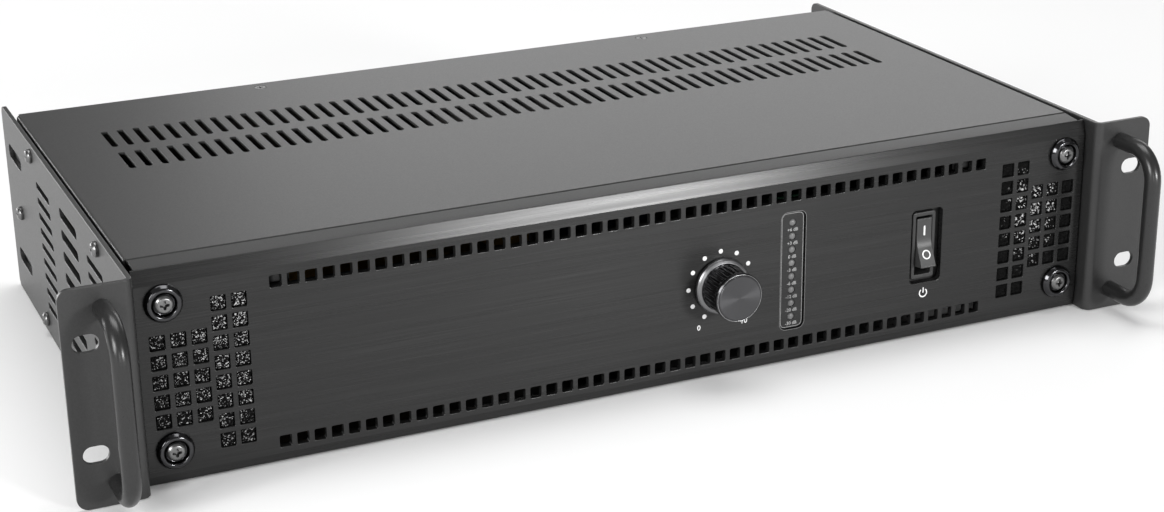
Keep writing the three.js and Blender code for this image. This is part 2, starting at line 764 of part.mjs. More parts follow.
function toroidClampGeometry() {
  const { x, y, z, height } = TOROID;
  const top = z + height + FIT;
  const outline = [
    [0, SHEET_T + FIT],
    [3, SHEET_T + FIT],
    [3, top],
    [32, top],
    [34, top + 1],
    [32, top + 2],
    [6, top + 2],
    [5.5, top + 7],
    [0, top + 7],
  ];
  return turnedUpright(outline, 16, x, y, 0);
}

function outputCoreGeometry() {
  const { x, y, z, width, depth, height, limb, windowX } = OUTPUT_IRON;
  const mid = z + height / 2;
  const windows = [-1, 1].map((s) => rectangle(x + s * windowX, mid, limb, height - 2 * limb));
  const laminations = prismY([rectangle(x, mid, width, height)], y - depth / 2, y + depth / 2);
  return shape3d([laminations], [prismY(windows, y - depth, y + depth)]);
}

function outputCoilGeometry() {
  const { x, y, z, depth, height, limb } = OUTPUT_IRON;
  const mid = z + height / 2;
  const half = height / 2 - limb - 2 * FIT;
  const outer = prismZ([roundedRectangle(x, y, 52, depth + 24, 8)], mid - half, mid + half, 3);
  const inner = prismZ([rectangle(x, y, 2 * limb + 1, depth + 1)], mid - half - 1, mid + half + 1);
  return shape3d([outer], [inner]);
}

function heatSinkGeometry() {
  const { x0, x1, y0, y1, base, top, fins, finPitch } = HEAT_SINK;
  const foot = block(x0, x1, y0, y1, SHEET_T + FIT, base + SHEET_T);
  const blades = evenly(fins, finPitch, (x0 + x1) / 2).map((x) => block(x - 1, x + 1, y0, y1, base, top));
  return shape3d([foot, ...blades]);
}

function amplifierBoardGeometry() {
  const { x0, x1, y0, y1, z, thickness } = BOARD;
  const board = block(x0, x1, y0, y1, z, z + thickness);
  const pillars = [x0 + 5, x1 - 5].flatMap((x) =>
    [y0 + 5, y1 - 5].map((y) => block(x - 3, x + 3, y - 3, y + 3, SHEET_T + FIT, z + 0.1)),
  );
  const rectifier = block(x0 + 10, x0 + 38, y0 + 8, y0 + 14, z + 1.5, z + 30);
  const relay = block(x1 - 34, x1 - 16, y1 - 34, y1 - 20, z + 1.5, z + 18);
  const choke = block(x1 - 60, x1 - 44, y1 - 30, y1 - 14, z + 1.5, z + 14);
  return shape3d([board, ...pillars, rectifier, relay, choke]);
}

function capacitorGeometry(index) {
  const { radius, height, pitch } = CAPACITOR;
  const outline = [
    [0, 0],
    [radius, 0],
    [radius, height - 2],
    [radius - 1, height],
    [0, height],
  ];
  const x = BOARD.x0 + 26 + index * pitch;
  return turnedUpright(outline, 16, x, BOARD.y0 + 42, BOARD.z + BOARD.thickness + FIT);
}

// ---- Rear panel pieces ----

function mainsInletGeometry() {
  const { x, z } = INLET;
  const flange = prismY([roundedRectangle(x, z, 50, 35, 3)], REAR_SKIN, REAR_SKIN + 3, 3);
  const body = block(x - 14, x + 14, REAR_SKIN - 24, REAR_SKIN + 1, z - 16, z + 16);
  const rim = prismY([roundedRectangle(x, z, 30, 33, 2)], REAR_SKIN + 2, REAR_SKIN + 5, 3);
  const mouth = polygon([
    [x - 12, z - 4],
    [x + 12, z - 4],
    [x + 12, z + 8],
    [x + 8, z + 12.5],
    [x - 8, z + 12.5],
    [x - 12, z + 8],
  ]);
  const socket = prismY([mouth], REAR_SKIN - 12, REAR_SKIN + 10);
  const drawerBay = block(x - 12, x + 12, REAR_SKIN - 20, REAR_SKIN + 10, z - 14.5, z - 5.8);
  const screwHoles = [-20, 20].map((dx) => circle(x + dx, z, 1.8));
  const blades = [
    [-7, 2.2],
    [7, 2.2],
    [0, 6.4],
  ].map(([dx, dz]) => rectangle(x + dx, z + dz, 2, 4));
  const housing = shape3d([flange, body, rim], [socket, drawerBay, prismY(screwHoles, ...REAR_CUT, 6)]);
  return shape3d([housing, prismY(blades, REAR_SKIN - 12.1, REAR_SKIN + 0.5)]);
}

function fuseDrawerGeometry() {
  const { x, z } = INLET;
  const tray = block(x - 11.6, x + 11.6, REAR_SKIN - 19, REAR_SKIN + 5, z - 14.1, z - 6.2);
  const lip = block(x - 5, x + 5, REAR_SKIN + 4.9, REAR_SKIN + 6.2, z - 13.5, z - 12);
  const fuseBed = block(x - 10, x + 10, REAR_SKIN - 17, REAR_SKIN - 11, z - 12.6, z - 5);
  return shape3d([tray, lip], [fuseBed]);
}

function xlrInputGeometry() {
  const { x, z, radius } = XLR;
  const flange = prismY([roundedRectangle(x, z, 26, 31, 2.5)], REAR_SKIN, REAR_SKIN + 2, 3);
  const collar = prismY([circle(x, z, 11.5)], REAR_SKIN - 18, REAR_SKIN + 3.5, 16);
  const moat = shape3d(
    [prismY([circle(x, z, radius)], REAR_SKIN - 10, REAR_SKIN + 5, 16)],
    [prismY([circle(x, z, 7.6)], REAR_SKIN - 11, REAR_SKIN + 6, 14)],
  );
  const contacts = [210, 330, 90].map((degrees) => {
    const angle = THREE.MathUtils.degToRad(-degrees);
    return circle(x + 4 * Math.cos(angle), z + 4 * Math.sin(angle), 1.4);
  });
  const screwHoles = [1, -1].map((s) => circle(x - 9.5 * s, z + 12 * s, 1.7));
  const latchBay = block(x - 3.6, x + 3.6, REAR_SKIN - 5, REAR_SKIN + 5, z + 10.1, z + 14.3);
  const cuts = [
    moat,
    latchBay,
    prismY(contacts, REAR_SKIN - 9, REAR_SKIN + 5, 6),
    prismY(screwHoles, ...REAR_CUT, 6),
  ];
  return shape3d([flange, collar], cuts);
}

// The push tab stands behind the flange, on a thin stem that passes through the round panel opening.
function xlrLatchGeometry() {
  const { x, z } = XLR;
  const tab = [roundedRectangle(x, z + 12.3, 6.4, 3.2, 0.8)];
  const stem = block(x - 2.5, x + 2.5, REAR_SKIN - 2.6, REAR_SKIN + 3, z + 10.4, z + 11.25);
  return shape3d([prismY(tab, REAR_SKIN + 1.9, REAR_SKIN + 5.4, 2), stem]);
}

function linkJackGeometry() {
  const { x, z } = JACK;
  const nutHexagon = Array.from({ length: 6 }, (_, i) => {
    const angle = (i * Math.PI) / 3;
    return [x + 7.6 * Math.cos(angle), z + 7.6 * Math.sin(angle)];
  });
  const body = block(x - 8, x + 8, PANEL_FRONT - FIT - 24, PANEL_FRONT - FIT, z - 9, z + 9);
  const neck = prismY([circle(x, z, 5.2)], PANEL_FRONT - 1, REAR_SKIN + 4.5, 12);
  const nut = prismY([polygon(nutHexagon)], REAR_SKIN, REAR_SKIN + 2.5);
  const bore = prismY([circle(x, z, 3.3)], PANEL_FRONT - 22, REAR_SKIN + 6, 10);
  return shape3d([body, neck, nut], [bore]);
}

function groundSwitchBodyGeometry() {
  const { x, z } = GROUND_SWITCH;
  const back = PANEL_FRONT - FIT;
  const body = block(x - 11, x + 11, back - 8, back, z - 4.5, z + 4.5);
  const bay = block(x - 6, x + 6, back - 4.2, back + 1, z - 2.4, z + 2.4);
  return shape3d([body], [bay]);
}

function groundSwitchSliderGeometry() {
  const { x, z, travel } = GROUND_SWITCH;
  const back = PANEL_FRONT - FIT;
  const rest = x - travel / 2;
  const shoe = block(rest - 3.4, rest + 3.4, back - 3.7, back - 0.4, z - 2.1, z + 2.1);
  const nub = block(rest - 1.6, rest + 1.6, back - 1, REAR_FACE + 2.2, z - 1.8, z + 1.8);
  return shape3d([shoe, nub]);
}

// Barrier strip with a raised screw in each bay and hinge lugs at both ends.
function terminalBlockGeometry() {
  const { x, z, count, pitch, halfHeight, hingeY } = TERMINALS;
  const half = (count * pitch) / 2;
  const floorY = REAR_SKIN + 7;
  const hingeZ = z + halfHeight + 1.5;
  const base = block(x - half - 1, x + half + 1, REAR_SKIN, floorY, z - halfHeight, z + halfHeight);
  const walls = evenly(count + 1, pitch, x).map((wallX) =>
    block(wallX - 0.9, wallX + 0.9, floorY - 0.5, hingeY - 2.2, z - halfHeight, z + halfHeight),
  );
  const lugs = [-half - 1, half - 1].map((dx) => {
    const outline = polygon([
      [floorY - 0.5, z + 2],
      [hingeY - 2.2, z + 2],
      [hingeY + 2, hingeZ - 1.5],
      [hingeY + 2, hingeZ + 2],
      [floorY + 4, hingeZ + 2],
      [floorY - 0.5, z + halfHeight],
    ]);
    return prismX([outline], x + dx, x + dx + 2);
  });
  const screws = prismY(
    evenly(count, pitch, x).map((screwX) => circle(screwX, z, 3.2)),
    floorY - 0.5,
    floorY + 2.1,
    10,
  );
  const tails = block(x - half + 4, x + half - 4, REAR_FACE - 8, REAR_SKIN + 0.5, z - 3, z + 3);
  const pinHole = prismX([circle(hingeY, hingeZ, 1.3)], x - half - 5, x + half + 5, 8);
  const slits = evenly(count, pitch, x).map((slitX) => rectangle(slitX, z, 3.4, 0.8));
  const drivers = prismY(slits, floorY + 1.6, floorY + 4);
  return shape3d([base, ...walls, ...lugs, screws, tails], [pinHole, drivers]);
}

function terminalCoverGeometry() {
  const { x, z, count, pitch, halfHeight, hingeY } = TERMINALS;
  const half = (count * pitch) / 2 - 1.4;
  const hingeZ = z + halfHeight + 1.5;
  const flap = block(x - half, x + half, hingeY - 1.1, hingeY + 0.5, z - halfHeight - 1, hingeZ);
  const barrel = prismX([circle(hingeY, hingeZ, 1.8)], x - half, x + half, 10);
  const pin = prismX([circle(hingeY, hingeZ, 1.1)], x - half - 1.8, x + half + 1.8, 8);
  const grip = block(x - 8, x + 8, hingeY + 0.4, hingeY + 2, z - halfHeight - 1, z - halfHeight + 0.6);
  return shape3d([flap, barrel, pin, grip]);
}

// ---- Assembly ----

addPart("chassis_tray", chassisTrayGeometry(), PAINT);
addPart("rear_panel", rearPanelGeometry(), PAINT);
addPart("top_cover", coverGeometry(), PAINT);
addPart("side_plate_right", sidePlateGeometry(), PAINT);
addPart("side_plate_left", sidePlateGeometry(), PAINT, true);
addPart("front_fascia", fasciaGeometry(), FASCIA_BLACK);
addPart("front_subpanel", subpanelGeometry(), PAINT);
addPart("handle_right", handleGeometry(), PAINT);
addPart("handle_left", handleGeometry(), PAINT, true);

fasciaScrewPlaces().forEach((place, i) => {
  addPart(`fascia_washer_${i + 1}`, fasciaWasherGeometry(place), BLACK_CHROME);
  addPart(`fascia_screw_${i + 1}`, fasciaScrewGeometry(place), ZINC);
});
SIDE_SCREWS.forEach((place, i) => {
  addPart(`side_screw_right_${i + 1}`, sideScrewGeometry(place), ZINC);
  addPart(`side_screw_left_${i + 1}`, sideScrewGeometry(place), ZINC, true);
});
COVER_SCREWS.forEach((place, i) => addPart(`cover_screw_${i + 1}`, coverScrewGeometry(place), PAINT));

[["left", -1], ["right", 1]].forEach(([name, side]) => {
  addPart(`filter_${name}`, filterGeometry(side), FOAM);
  addPart(`fan_frame_${name}`, fanFrameGeometry(side), BLACK_PLASTIC);
  addPart(`fan_impeller_${name}`, impellerGeometry(side), BLACK_PLASTIC);
});

addPart("volume_knob", volumeKnobGeometry(), KNOB_METAL);
addPart("potentiometer", potentiometerGeometry(), STEEL);
addPart("potentiometer_shaft", potentiometerShaftGeometry(), STEEL);
addPart("power_switch_housing", switchHousingGeometry(), BLACK_PLASTIC);
addPart("power_rocker", rockerGeometry(), BLACK_PLASTIC);
addPart("led_overlay", ledOverlayGeometry(), BLACK_PLASTIC);
addPart("led_lens_strip", ledLensGeometry(), LENS);
addPart("led_board", ledBoardGeometry(), CIRCUIT_BOARD);

addPart("mains_transformer", toroidGeometry(), TAPE);
addPart("transformer_clamp", toroidClampGeometry(), STEEL);
addPart("output_transformer_core", outputCoreGeometry(), STEEL);
addPart("output_transformer_coil", outputCoilGeometry(), TAPE);
addPart("heat_sink", heatSinkGeometry(), FASCIA_BLACK);
addPart("amplifier_board", amplifierBoardGeometry(), CIRCUIT_BOARD);
[0, 1].forEach((i) => addPart(`capacitor_${i + 1}`, capacitorGeometry(i), SLEEVE));

addPart("mains_inlet", mainsInletGeometry(), BLACK_PLASTIC);
addPart("fuse_drawer", fuseDrawerGeometry(), BLACK_PLASTIC);
addPart("xlr_input", xlrInputGeometry(), STEEL);
addPart("xlr_latch", xlrLatchGeometry(), BLACK_PLASTIC);
addPart("link_jack", linkJackGeometry(), BLACK_PLASTIC);
addPart("ground_switch_body", groundSwitchBodyGeometry(), STEEL);
addPart("ground_switch_slider", groundSwitchSliderGeometry(), BLACK_PLASTIC);
addPart("terminal_block", terminalBlockGeometry(), BLACK_PLASTIC);
addPart("terminal_cover", terminalCoverGeometry(), BLACK_PLASTIC);

// The whole unit runs from the front of the handles to the rear of the side plates.
const unitFront = HANDLE_AXIS_Y - HANDLE_ROD_R;
unit.position.y = -(unitFront + PLATE_REAR) / 2;

export default unit;
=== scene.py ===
import math

import bmesh
import bpy
from mathutils import Matrix, Vector, noise


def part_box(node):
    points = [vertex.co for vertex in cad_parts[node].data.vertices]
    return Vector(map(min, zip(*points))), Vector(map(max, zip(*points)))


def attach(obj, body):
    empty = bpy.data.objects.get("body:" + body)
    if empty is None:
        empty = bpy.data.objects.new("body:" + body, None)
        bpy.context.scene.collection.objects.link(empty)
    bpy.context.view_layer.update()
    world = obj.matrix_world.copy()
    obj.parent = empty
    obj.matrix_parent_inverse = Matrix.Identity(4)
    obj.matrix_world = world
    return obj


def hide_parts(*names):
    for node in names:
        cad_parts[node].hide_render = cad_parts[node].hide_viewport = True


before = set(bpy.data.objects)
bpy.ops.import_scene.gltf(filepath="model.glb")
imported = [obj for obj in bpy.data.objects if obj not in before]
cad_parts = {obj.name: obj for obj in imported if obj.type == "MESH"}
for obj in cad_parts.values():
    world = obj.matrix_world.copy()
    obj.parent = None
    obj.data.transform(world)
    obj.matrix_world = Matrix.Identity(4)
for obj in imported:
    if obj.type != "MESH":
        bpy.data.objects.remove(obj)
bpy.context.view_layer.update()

SCENE = bpy.context.scene
MM = 0.001
TAU = 2 * math.pi


class Box:
    """A CAD node's box at rest, in millimetres."""

    def __init__(self, node):
        low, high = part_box(node)
        self.x0, self.y0, self.z0 = low / MM
        self.x1, self.y1, self.z1 = high / MM
        self.x, self.y, self.z = (low + high) / (2 * MM)
        self.width, self.depth, self.height = (high - low) / MM


# ---- Sizes that the boxes don't give, in millimetres ----

PLATE = Box("side_plate_right")
FASCIA = Box("front_fascia")
COVER = Box("top_cover")
TRAY = Box("chassis_tray")
REAR = Box("rear_panel")
MID_Z = PLATE.z
EAR_Y = PLATE.y0
PLATE_T = 2.0
PLATE_BEND = 3.5
SHEET_T = 1.5
COVER_T = 1.2


# ---- Outlines: closed lists of (u, v) points ----


def fillet(points, radii, steps=5):
    """The polygon with each corner rounded. radii is one radius, or one for each corner."""
    if not hasattr(radii, "__len__"):
        radii = [radii] * len(points)
    out = []
    for i, radius in enumerate(radii):
        corner = Vector(points[i])
        before = Vector(points[i - 1]) - corner
        after = Vector(points[(i + 1) % len(points)]) - corner
        if radius <= 0:
            out.append(tuple(corner))
            continue
        before.normalize()
        after.normalize()
        half = before.angle(after) / 2
        centre = corner + (before + after).normalized() * radius / math.sin(half)
        start = corner + before * radius / math.tan(half) - centre
        end = corner + after * radius / math.tan(half) - centre
        turn = math.atan2(start.x * end.y - start.y * end.x, start.dot(end))
        for k in range(steps + 1):
            a = turn * k / steps
            c, s = math.cos(a), math.sin(a)
            out.append((centre.x + start.x * c - start.y * s, centre.y + start.x * s + start.y * c))
    return out


def rect(u, v, width, height, radius=0.0, steps=5):
    w, h = width / 2, height / 2
    corners = [(u - w, v - h), (u + w, v - h), (u + w, v + h), (u - w, v + h)]
    return fillet(corners, radius, steps)


def circle(u, v, radius, steps=32):
    turns = [TAU * k / steps for k in range(steps)]
    return [(u + radius * math.cos(a), v + radius * math.sin(a)) for a in turns]


def slot(u, v, length, width, upright=False, steps=8):
    """A slot with round ends, lying along u, or along v when upright."""
    reach = (length - width) / 2
    turn = math.pi / 2 if upright else 0
    points = []
    for end in (1, -1):
        for k in range(steps + 1):
            a = turn + (0 if end > 0 else math.pi) - math.pi / 2 + math.pi * k / steps
            points.append((
                u + end * reach * math.cos(turn) + width / 2 * math.cos(a),
                v + end * reach * math.sin(turn) + width / 2 * math.sin(a),
            ))
    return points


def spread(count, pitch, middle=0.0):
    return [middle + (i - (count - 1) / 2) * pitch for i in range(count)]


# ---- Meshes, in millimetres ----


def shape(bm, place):
    """Moves each vertex to place(x, y, z)."""
    for vertex in bm.verts:
        vertex.co = place(*vertex.co)
    return bm


def mesh_of(curve, merge):
    """The mesh of a filled curve, with points closer than merge made one. The curve is used up."""
    holder = bpy.data.objects.new("holder", curve)
    mesh = bpy.data.meshes.new_from_object(holder)
    bm = bmesh.new()
    bm.from_mesh(mesh)
    bpy.data.objects.remove(holder)
    bpy.data.curves.remove(curve)
    bpy.data.meshes.remove(mesh)
    bmesh.ops.remove_doubles(bm, verts=bm.verts, dist=merge)
    return bm


def sheet(outer, holes, thickness, edge=0.2, rounds=2):
    """A flat sheet in (u, v), from w = 0 to its thickness, with every edge rounded."""
    curve = bpy.data.curves.new("sheet", "CURVE")
    curve.dimensions = "2D"
    curve.fill_mode = "BOTH"
    curve.extrude = thickness / 2 - edge
    curve.bevel_depth = edge
    curve.bevel_resolution = rounds
    curve.offset = -edge
    for points in [outer, *holes]:
        spline = curve.splines.new("POLY")
        spline.points.add(len(points) - 1)
        spline.use_cyclic_u = True
        for target, (u, v) in zip(spline.points, points):
            target.co = (u, v, 0, 1)
    bm = mesh_of(curve, 1e-3)
    return shape(bm, lambda u, v, w: (u, v, w + thickness / 2))


def slice_at(bm, axis, values):
    """Adds edges where the mesh crosses these places along an axis, so that it can be bent there."""
    normal = Vector([float(i == axis) for i in range(3)])
    for value in values:
        parts = [*bm.verts, *bm.edges, *bm.faces]
        bmesh.ops.bisect_plane(bm, geom=parts, dist=1e-4, plane_co=normal * value, plane_no=normal)
    return bm


def joined(*shapes):
    """One mesh that holds all of these as separate shells."""
    scratch = bpy.data.meshes.new("scratch")
    whole = bmesh.new()
    for bm in shapes:
        bm.to_mesh(scratch)
        whole.from_mesh(scratch)
        bm.free()
    bpy.data.meshes.remove(scratch)
    return whole


def as_object(bm, name="scratch"):
    mesh = bpy.data.meshes.new(name)
    bm.to_mesh(mesh)
    bm.free()
    made = bpy.data.objects.new(name, mesh)
    SCENE.collection.objects.link(made)
    return made


def cut(body, *tools, operation="DIFFERENCE"):
    """The body with the tools taken out of it, or joined to it."""
    target = as_object(body)
    for tool in tools:
        cutter = as_object(tool)
        change = target.modifiers.new("cut", "BOOLEAN")
        change.operation = operation
        change.solver = "EXACT"
        change.object = cutter
        done = bpy.data.meshes.new_from_object(
            target.evaluated_get(bpy.context.evaluated_depsgraph_get())
        )
        target.modifiers.clear()
        target.data = done
        bpy.data.objects.remove(cutter)
    bm = bmesh.new()
    bm.from_mesh(target.data)
    bpy.data.objects.remove(target)
    return bm


# Each basis holds the directions of a turned piece's radius at 0 and 90 degrees, and of its height.
X, Y, Z = (Vector(axis) for axis in Matrix.Identity(3))
FRONT = (X, Z, -Y)
BACK = (-X, Z, Y)
RIGHT = (Y, Z, X)
LEFT = (-Y, Z, -X)
UP = (X, Y, Z)


def lathe(profile, basis, centre, steps=48, ripple=None):
    """Turns (radius, height) points about an axis. ripple(radius, height, angle) gives a new radius."""
    across, up, along = basis
    bm = bmesh.new()
    rings = []
    for radius, height in profile:
        ring = []
        for k in range(1 if radius < 1e-6 else steps):
            angle = TAU * k / steps
            r = ripple(radius, height, angle) if ripple else radius
            offset = across * r * math.cos(angle) + up * r * math.sin(angle) + along * height
            ring.append(bm.verts.new(Vector(centre) + offset))
        rings.append(ring)
    pairs = list(zip(rings, rings[1:]))
    if profile[0][0] > 1e-6:
        pairs.append((rings[-1], rings[0]))
    for a, b in pairs:
        for k in range(steps):
            corners = [a[k % len(a)], a[(k + 1) % len(a)], b[(k + 1) % len(b)], b[k % len(b)]]
            corners = list(dict.fromkeys(corners))
            if len(corners) > 2:
                bm.faces.new(corners)
    bmesh.ops.recalc_face_normals(bm, faces=bm.faces)
    return bm


def upright(bm, y0):
    """Stands a sheet up in X and Z, with its w = 0 face at y0 and the rest behind it."""
    return shape(bm, lambda u, v, w: (u, y0 + w, v))


def sideways(bm, x0):
    """Stands a sheet up in Y and Z, with its w = 0 face at x0 and the rest to its right."""
    return shape(bm, lambda u, v, w: (x0 + w, u, v))


def slab(outline, holes, y0, depth, edge=0.2, rounds=2):
    return upright(sheet(outline, holes, depth, edge, rounds), y0)


def block(x0, x1, y0, y1, z0, z1, edge=0.3, rounds=2):
    """A box with rounded edges."""
    outline = rect((x0 + x1) / 2, (z0 + z1) / 2, x1 - x0, z1 - z0, edge, 3)
    return slab(outline, [], y0, y1 - y0, edge, rounds)


def bar(x, z, width, height, y0, y1, edge=0.3, rounds=2):
    """A block with its middle at (x, z)."""
    return block(x - width / 2, x + width / 2, y0, y1, z - height / 2, z + height / 2, edge, rounds)


def skinned(rings):
    """A solid through rings of points that all have the same count, with flat ends."""
    bm = bmesh.new()
    rings = [[bm.verts.new(point) for point in ring] for ring in rings]
    for a, b in zip(rings, rings[1:]):
        for k in range(len(a)):
            bm.faces.new([a[k - 1], a[k], b[k], b[k - 1]])
    bm.faces.new(rings[0])
    bm.faces.new(rings[-1])
    bmesh.ops.recalc_face_normals(bm, faces=bm.faces)
    return bm


def tube(points, radius, steps):
    """A round bar along a line of points, with flat ends."""
    rings = []
    for i, point in enumerate(points):
        ahead = points[min(i + 1, len(points) - 1)] - points[max(i - 1, 0)]
        other = ahead.normalized().cross(X).normalized()
        rings.append([point + X * u + other * v for u, v in circle(0, 0, radius, steps)])
    return skinned(rings)


def outward(bm):
    """Makes the faces of every shell look out of it."""
    bmesh.ops.recalc_face_normals(bm, faces=bm.faces)
    unseen = set(bm.faces)
    while unseen:
        shell = [unseen.pop()]
        for face in shell:
            for edge in face.edges:
                for other in edge.link_faces:
                    if other in unseen:
                        unseen.remove(other)
                        shell.append(other)
        if sum(f.calc_center_median().dot(f.normal) * f.calc_area() for f in shell) < 0:
            bmesh.ops.reverse_faces(bm, faces=shell)


def piece(name, bm, finish, replaces=None, body="root", smooth_below=35):
    """Makes the object, in metres. finish is (material, the record's slot); its slot is not used."""
    outward(bm)
    for vertex in bm.verts:
        vertex.co *= MM
    made = as_object(bm, name)
    made.data.materials.append(finish[0])
    made.data.polygons.foreach_set("use_smooth", [True] * len(made.data.polygons))
    made.data.set_sharp_from_angle(angle=math.radians(smooth_below))
    weigh = made.modifiers.new("weighted normals", "WEIGHTED_NORMAL")
    weigh.keep_sharp = True
    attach(made, body)
    if replaces:
        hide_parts(replaces)
    return made


def mirrored(bm):
    """The other side's copy, across the middle of the unit."""
    shape(bm, lambda x, y, z: (-x, y, z))
    bmesh.ops.reverse_faces(bm, faces=bm.faces)
    return bm


# ---- Materials ----


class Shader:
    """A Principled material with short ways to add procedural detail, in object space."""

    def __init__(self, name, color, roughness, metallic=0.0, **uniform):
        self.material = bpy.data.materials.new(name)
        self.material.use_nodes = True
        self.tree = self.material.node_tree
        self.main = self.tree.nodes["Principled BSDF"]
        self.main.inputs["Base Color"].default_value = (*color, 1)
        self.main.inputs["Roughness"].default_value = roughness
        self.main.inputs["Metallic"].default_value = metallic
        for socket, value in uniform.items():
            self.main.inputs[socket.replace("_", " ")].default_value = value
        self.place = self.node("ShaderNodeTexCoord").outputs["Object"]

    def node(self, kind, inputs=(), **settings):
        """Adds a node. inputs gives its sockets values, or other nodes' outputs."""
        made = self.tree.nodes.new(kind)
        for key, value in settings.items():
            setattr(made, key, value)
        for socket, value in dict(inputs).items():
            if isinstance(value, bpy.types.NodeSocket):
                self.tree.links.new(value, made.inputs[socket])
            else:
                made.inputs[socket].default_value = value
        return made

    def link(self, output, socket):
        self.tree.links.new(output, self.main.inputs[socket])

    def mapped(self, scale, location=(0, 0, 0)):
        inputs = {"Vector": self.place, "Scale": scale, "Location": location}
        return self.node("ShaderNodeMapping", inputs).outputs["Vector"]

    def noise(self, scale, detail=2.0, stretch=(1, 1, 1), roughness=0.5):
        inputs = {"Vector": self.mapped(stretch), "Scale": scale, "Detail": detail, "Roughness": roughness}
        return self.node("ShaderNodeTexNoise", inputs).outputs["Fac"]

    def glow(self, centre, reach):
        """1 at a place, falling to 0 at its reach along each axis. Both are in millimetres."""
        vector = self.mapped([1 / (MM * r) for r in reach], [-c / r for c, r in zip(centre, reach)])
        sphere = self.node("ShaderNodeTexGradient", {"Vector": vector}, gradient_type="SPHERICAL")
        return sphere.outputs["Fac"]

    def cell_values(self, scale):
        """A random value for each cell."""
        cells = self.node("ShaderNodeTexVoronoi", {"Vector": self.place, "Scale": scale})
        return self.node("ShaderNodeSeparateColor", {"Color": cells.outputs["Color"]}).outputs["Red"]

    def mixed(self, first, second, share=0.5):
        """first + share * (second - 0.5)"""
        total = self.node("ShaderNodeMath", {0: second, 1: share, 2: first}, operation="MULTIPLY_ADD")
        shifted = self.node("ShaderNodeMath", {0: total.outputs["Value"], 1: share / 2}, operation="SUBTRACT")
        return shifted.outputs["Value"]

    def ramp(self, value, *stops):
        """Maps a value to greys or colours. Each stop is (position, grey or colour)."""
        ramp = self.node("ShaderNodeValToRGB", {"Fac": value})
        elements = ramp.color_ramp.elements
        while len(elements) < len(stops):
            elements.new(0.5)
        for element, (position, tone) in zip(elements, stops):
            element.position = position
            element.color = (*tone, 1) if hasattr(tone, "__len__") else (tone, tone, tone, 1)
        return ramp.outputs["Color"]

    def bump(self, height, strength, distance):
        """Roughens the surface. distance is in millimetres."""
        inputs = {"Height": height, "Strength": strength, "Distance": distance * MM}
        self.link(self.node("ShaderNodeBump", inputs).outputs["Normal"], "Normal")

    def vary(self, socket, value, *stops):
        self.link(self.ramp(value, *stops), socket)

    def grain_round(self, axis):
        """Turns an anisotropic gloss so that its fine lines run round an axis of the object."""
        tangent = self.node("ShaderNodeTangent", direction_type="RADIAL", axis=axis)
        self.link(tangent.outputs["Tangent"], "Tangent")


def powder_coat(name, tone, roughness):
    """Satin black paint with a fine orange-peel grain."""
    s = Shader(name, (tone,) * 3, roughness)
    s.vary("Base Color", s.noise(1500, 3), (0.3, tone * 0.85), (0.7, tone * 1.15))
    s.vary("Roughness", s.noise(1800, 2), (0.3, roughness - 0.03), (0.7, roughness + 0.03))
    s.bump(s.noise(1500, 2), 0.10, 0.03)
    return s.material


def brushed_black():
    """Anodised aluminium with streaks along X."""
    s = Shader("brushed_black_anodised", (0.024,) * 3, 0.28, 0.55, Anisotropic=0.7)
    s.grain_round("X")
    streaks = s.noise(1.0, 6, (14, 900, 2600), 0.65)
    broad = s.noise(1.0, 3, (5, 200, 420), 0.6)
    s.vary("Base Color", streaks, (0.25, 0.015), (0.55, 0.022), (0.8, 0.038))
    s.vary("Roughness", broad, (0.3, 0.25), (0.7, 0.31))
    s.bump(streaks, 0.16, 0.02)
    return s.material


def metal(name, tone, roughness, grain=900, dull=0.1):
    s = Shader(name, tone, roughness, 1.0)
    s.vary("Roughness", s.noise(grain, 4), (0.3, roughness), (0.75, roughness + dull))
    s.vary("Base Color", s.noise(300, 3), (0.3, [c * 0.85 for c in tone]), (0.7, tone))
    s.bump(s.noise(grain * 2, 2), 0.05, 0.02)
    return s.material


def plastic(name, color, roughness):
    """Moulded plastic with a faint spark-eroded grain. Its colour may be one grey."""
    color = color if hasattr(color, "__len__") else (color,) * 3
    s = Shader(name, color, roughness)
    dark, light = ([c * share for c in color] for share in (0.85, 1.15))
    s.vary("Base Color", s.noise(60, 3), (0.3, dark), (0.7, light))
    s.vary("Roughness", s.noise(400, 3), (0.3, roughness - 0.04), (0.7, roughness + 0.08))
    s.bump(s.noise(2600, 2), 0.12, 0.03)
    return s.material


def foam_material(name, cells, centre, reach, share, dull, bright):
    """Open-cell foam: black pores, with painted glints: some cells get a light grey base colour, brightest in
    a painted pool of light about a centre.
    """
    s = Shader(name, (0.02,) * 3, 0.7, Specular_IOR_Level=0.06)
    painted_glints = s.cell_values(cells)
    painted_glow = s.glow(centre, reach)
    # Painted highlight: the top stop gives the glinting cells a light grey base colour.
    stops = (dull, 0.002), ((dull + bright) / 2, 0.010), (bright, 0.45)
    s.vary("Base Color", s.mixed(painted_glints, painted_glow, share), *stops)
    s.vary("Roughness", s.noise(1500, 2), (0.35, 0.55), (0.7, 0.8))
    s.bump(painted_glints, 0.8, 0.3)
    return s.material


def spun_metal(name, tone, roughness):
    """Turned metal, with fine rings round Y."""
    s = Shader(name, tone, roughness, 1.0, Anisotropic=0.75)
    s.grain_round("Y")
    s.bump(s.noise(1.0, 2, (900, 900, 900)), 0.03, 0.01)
    return s.material


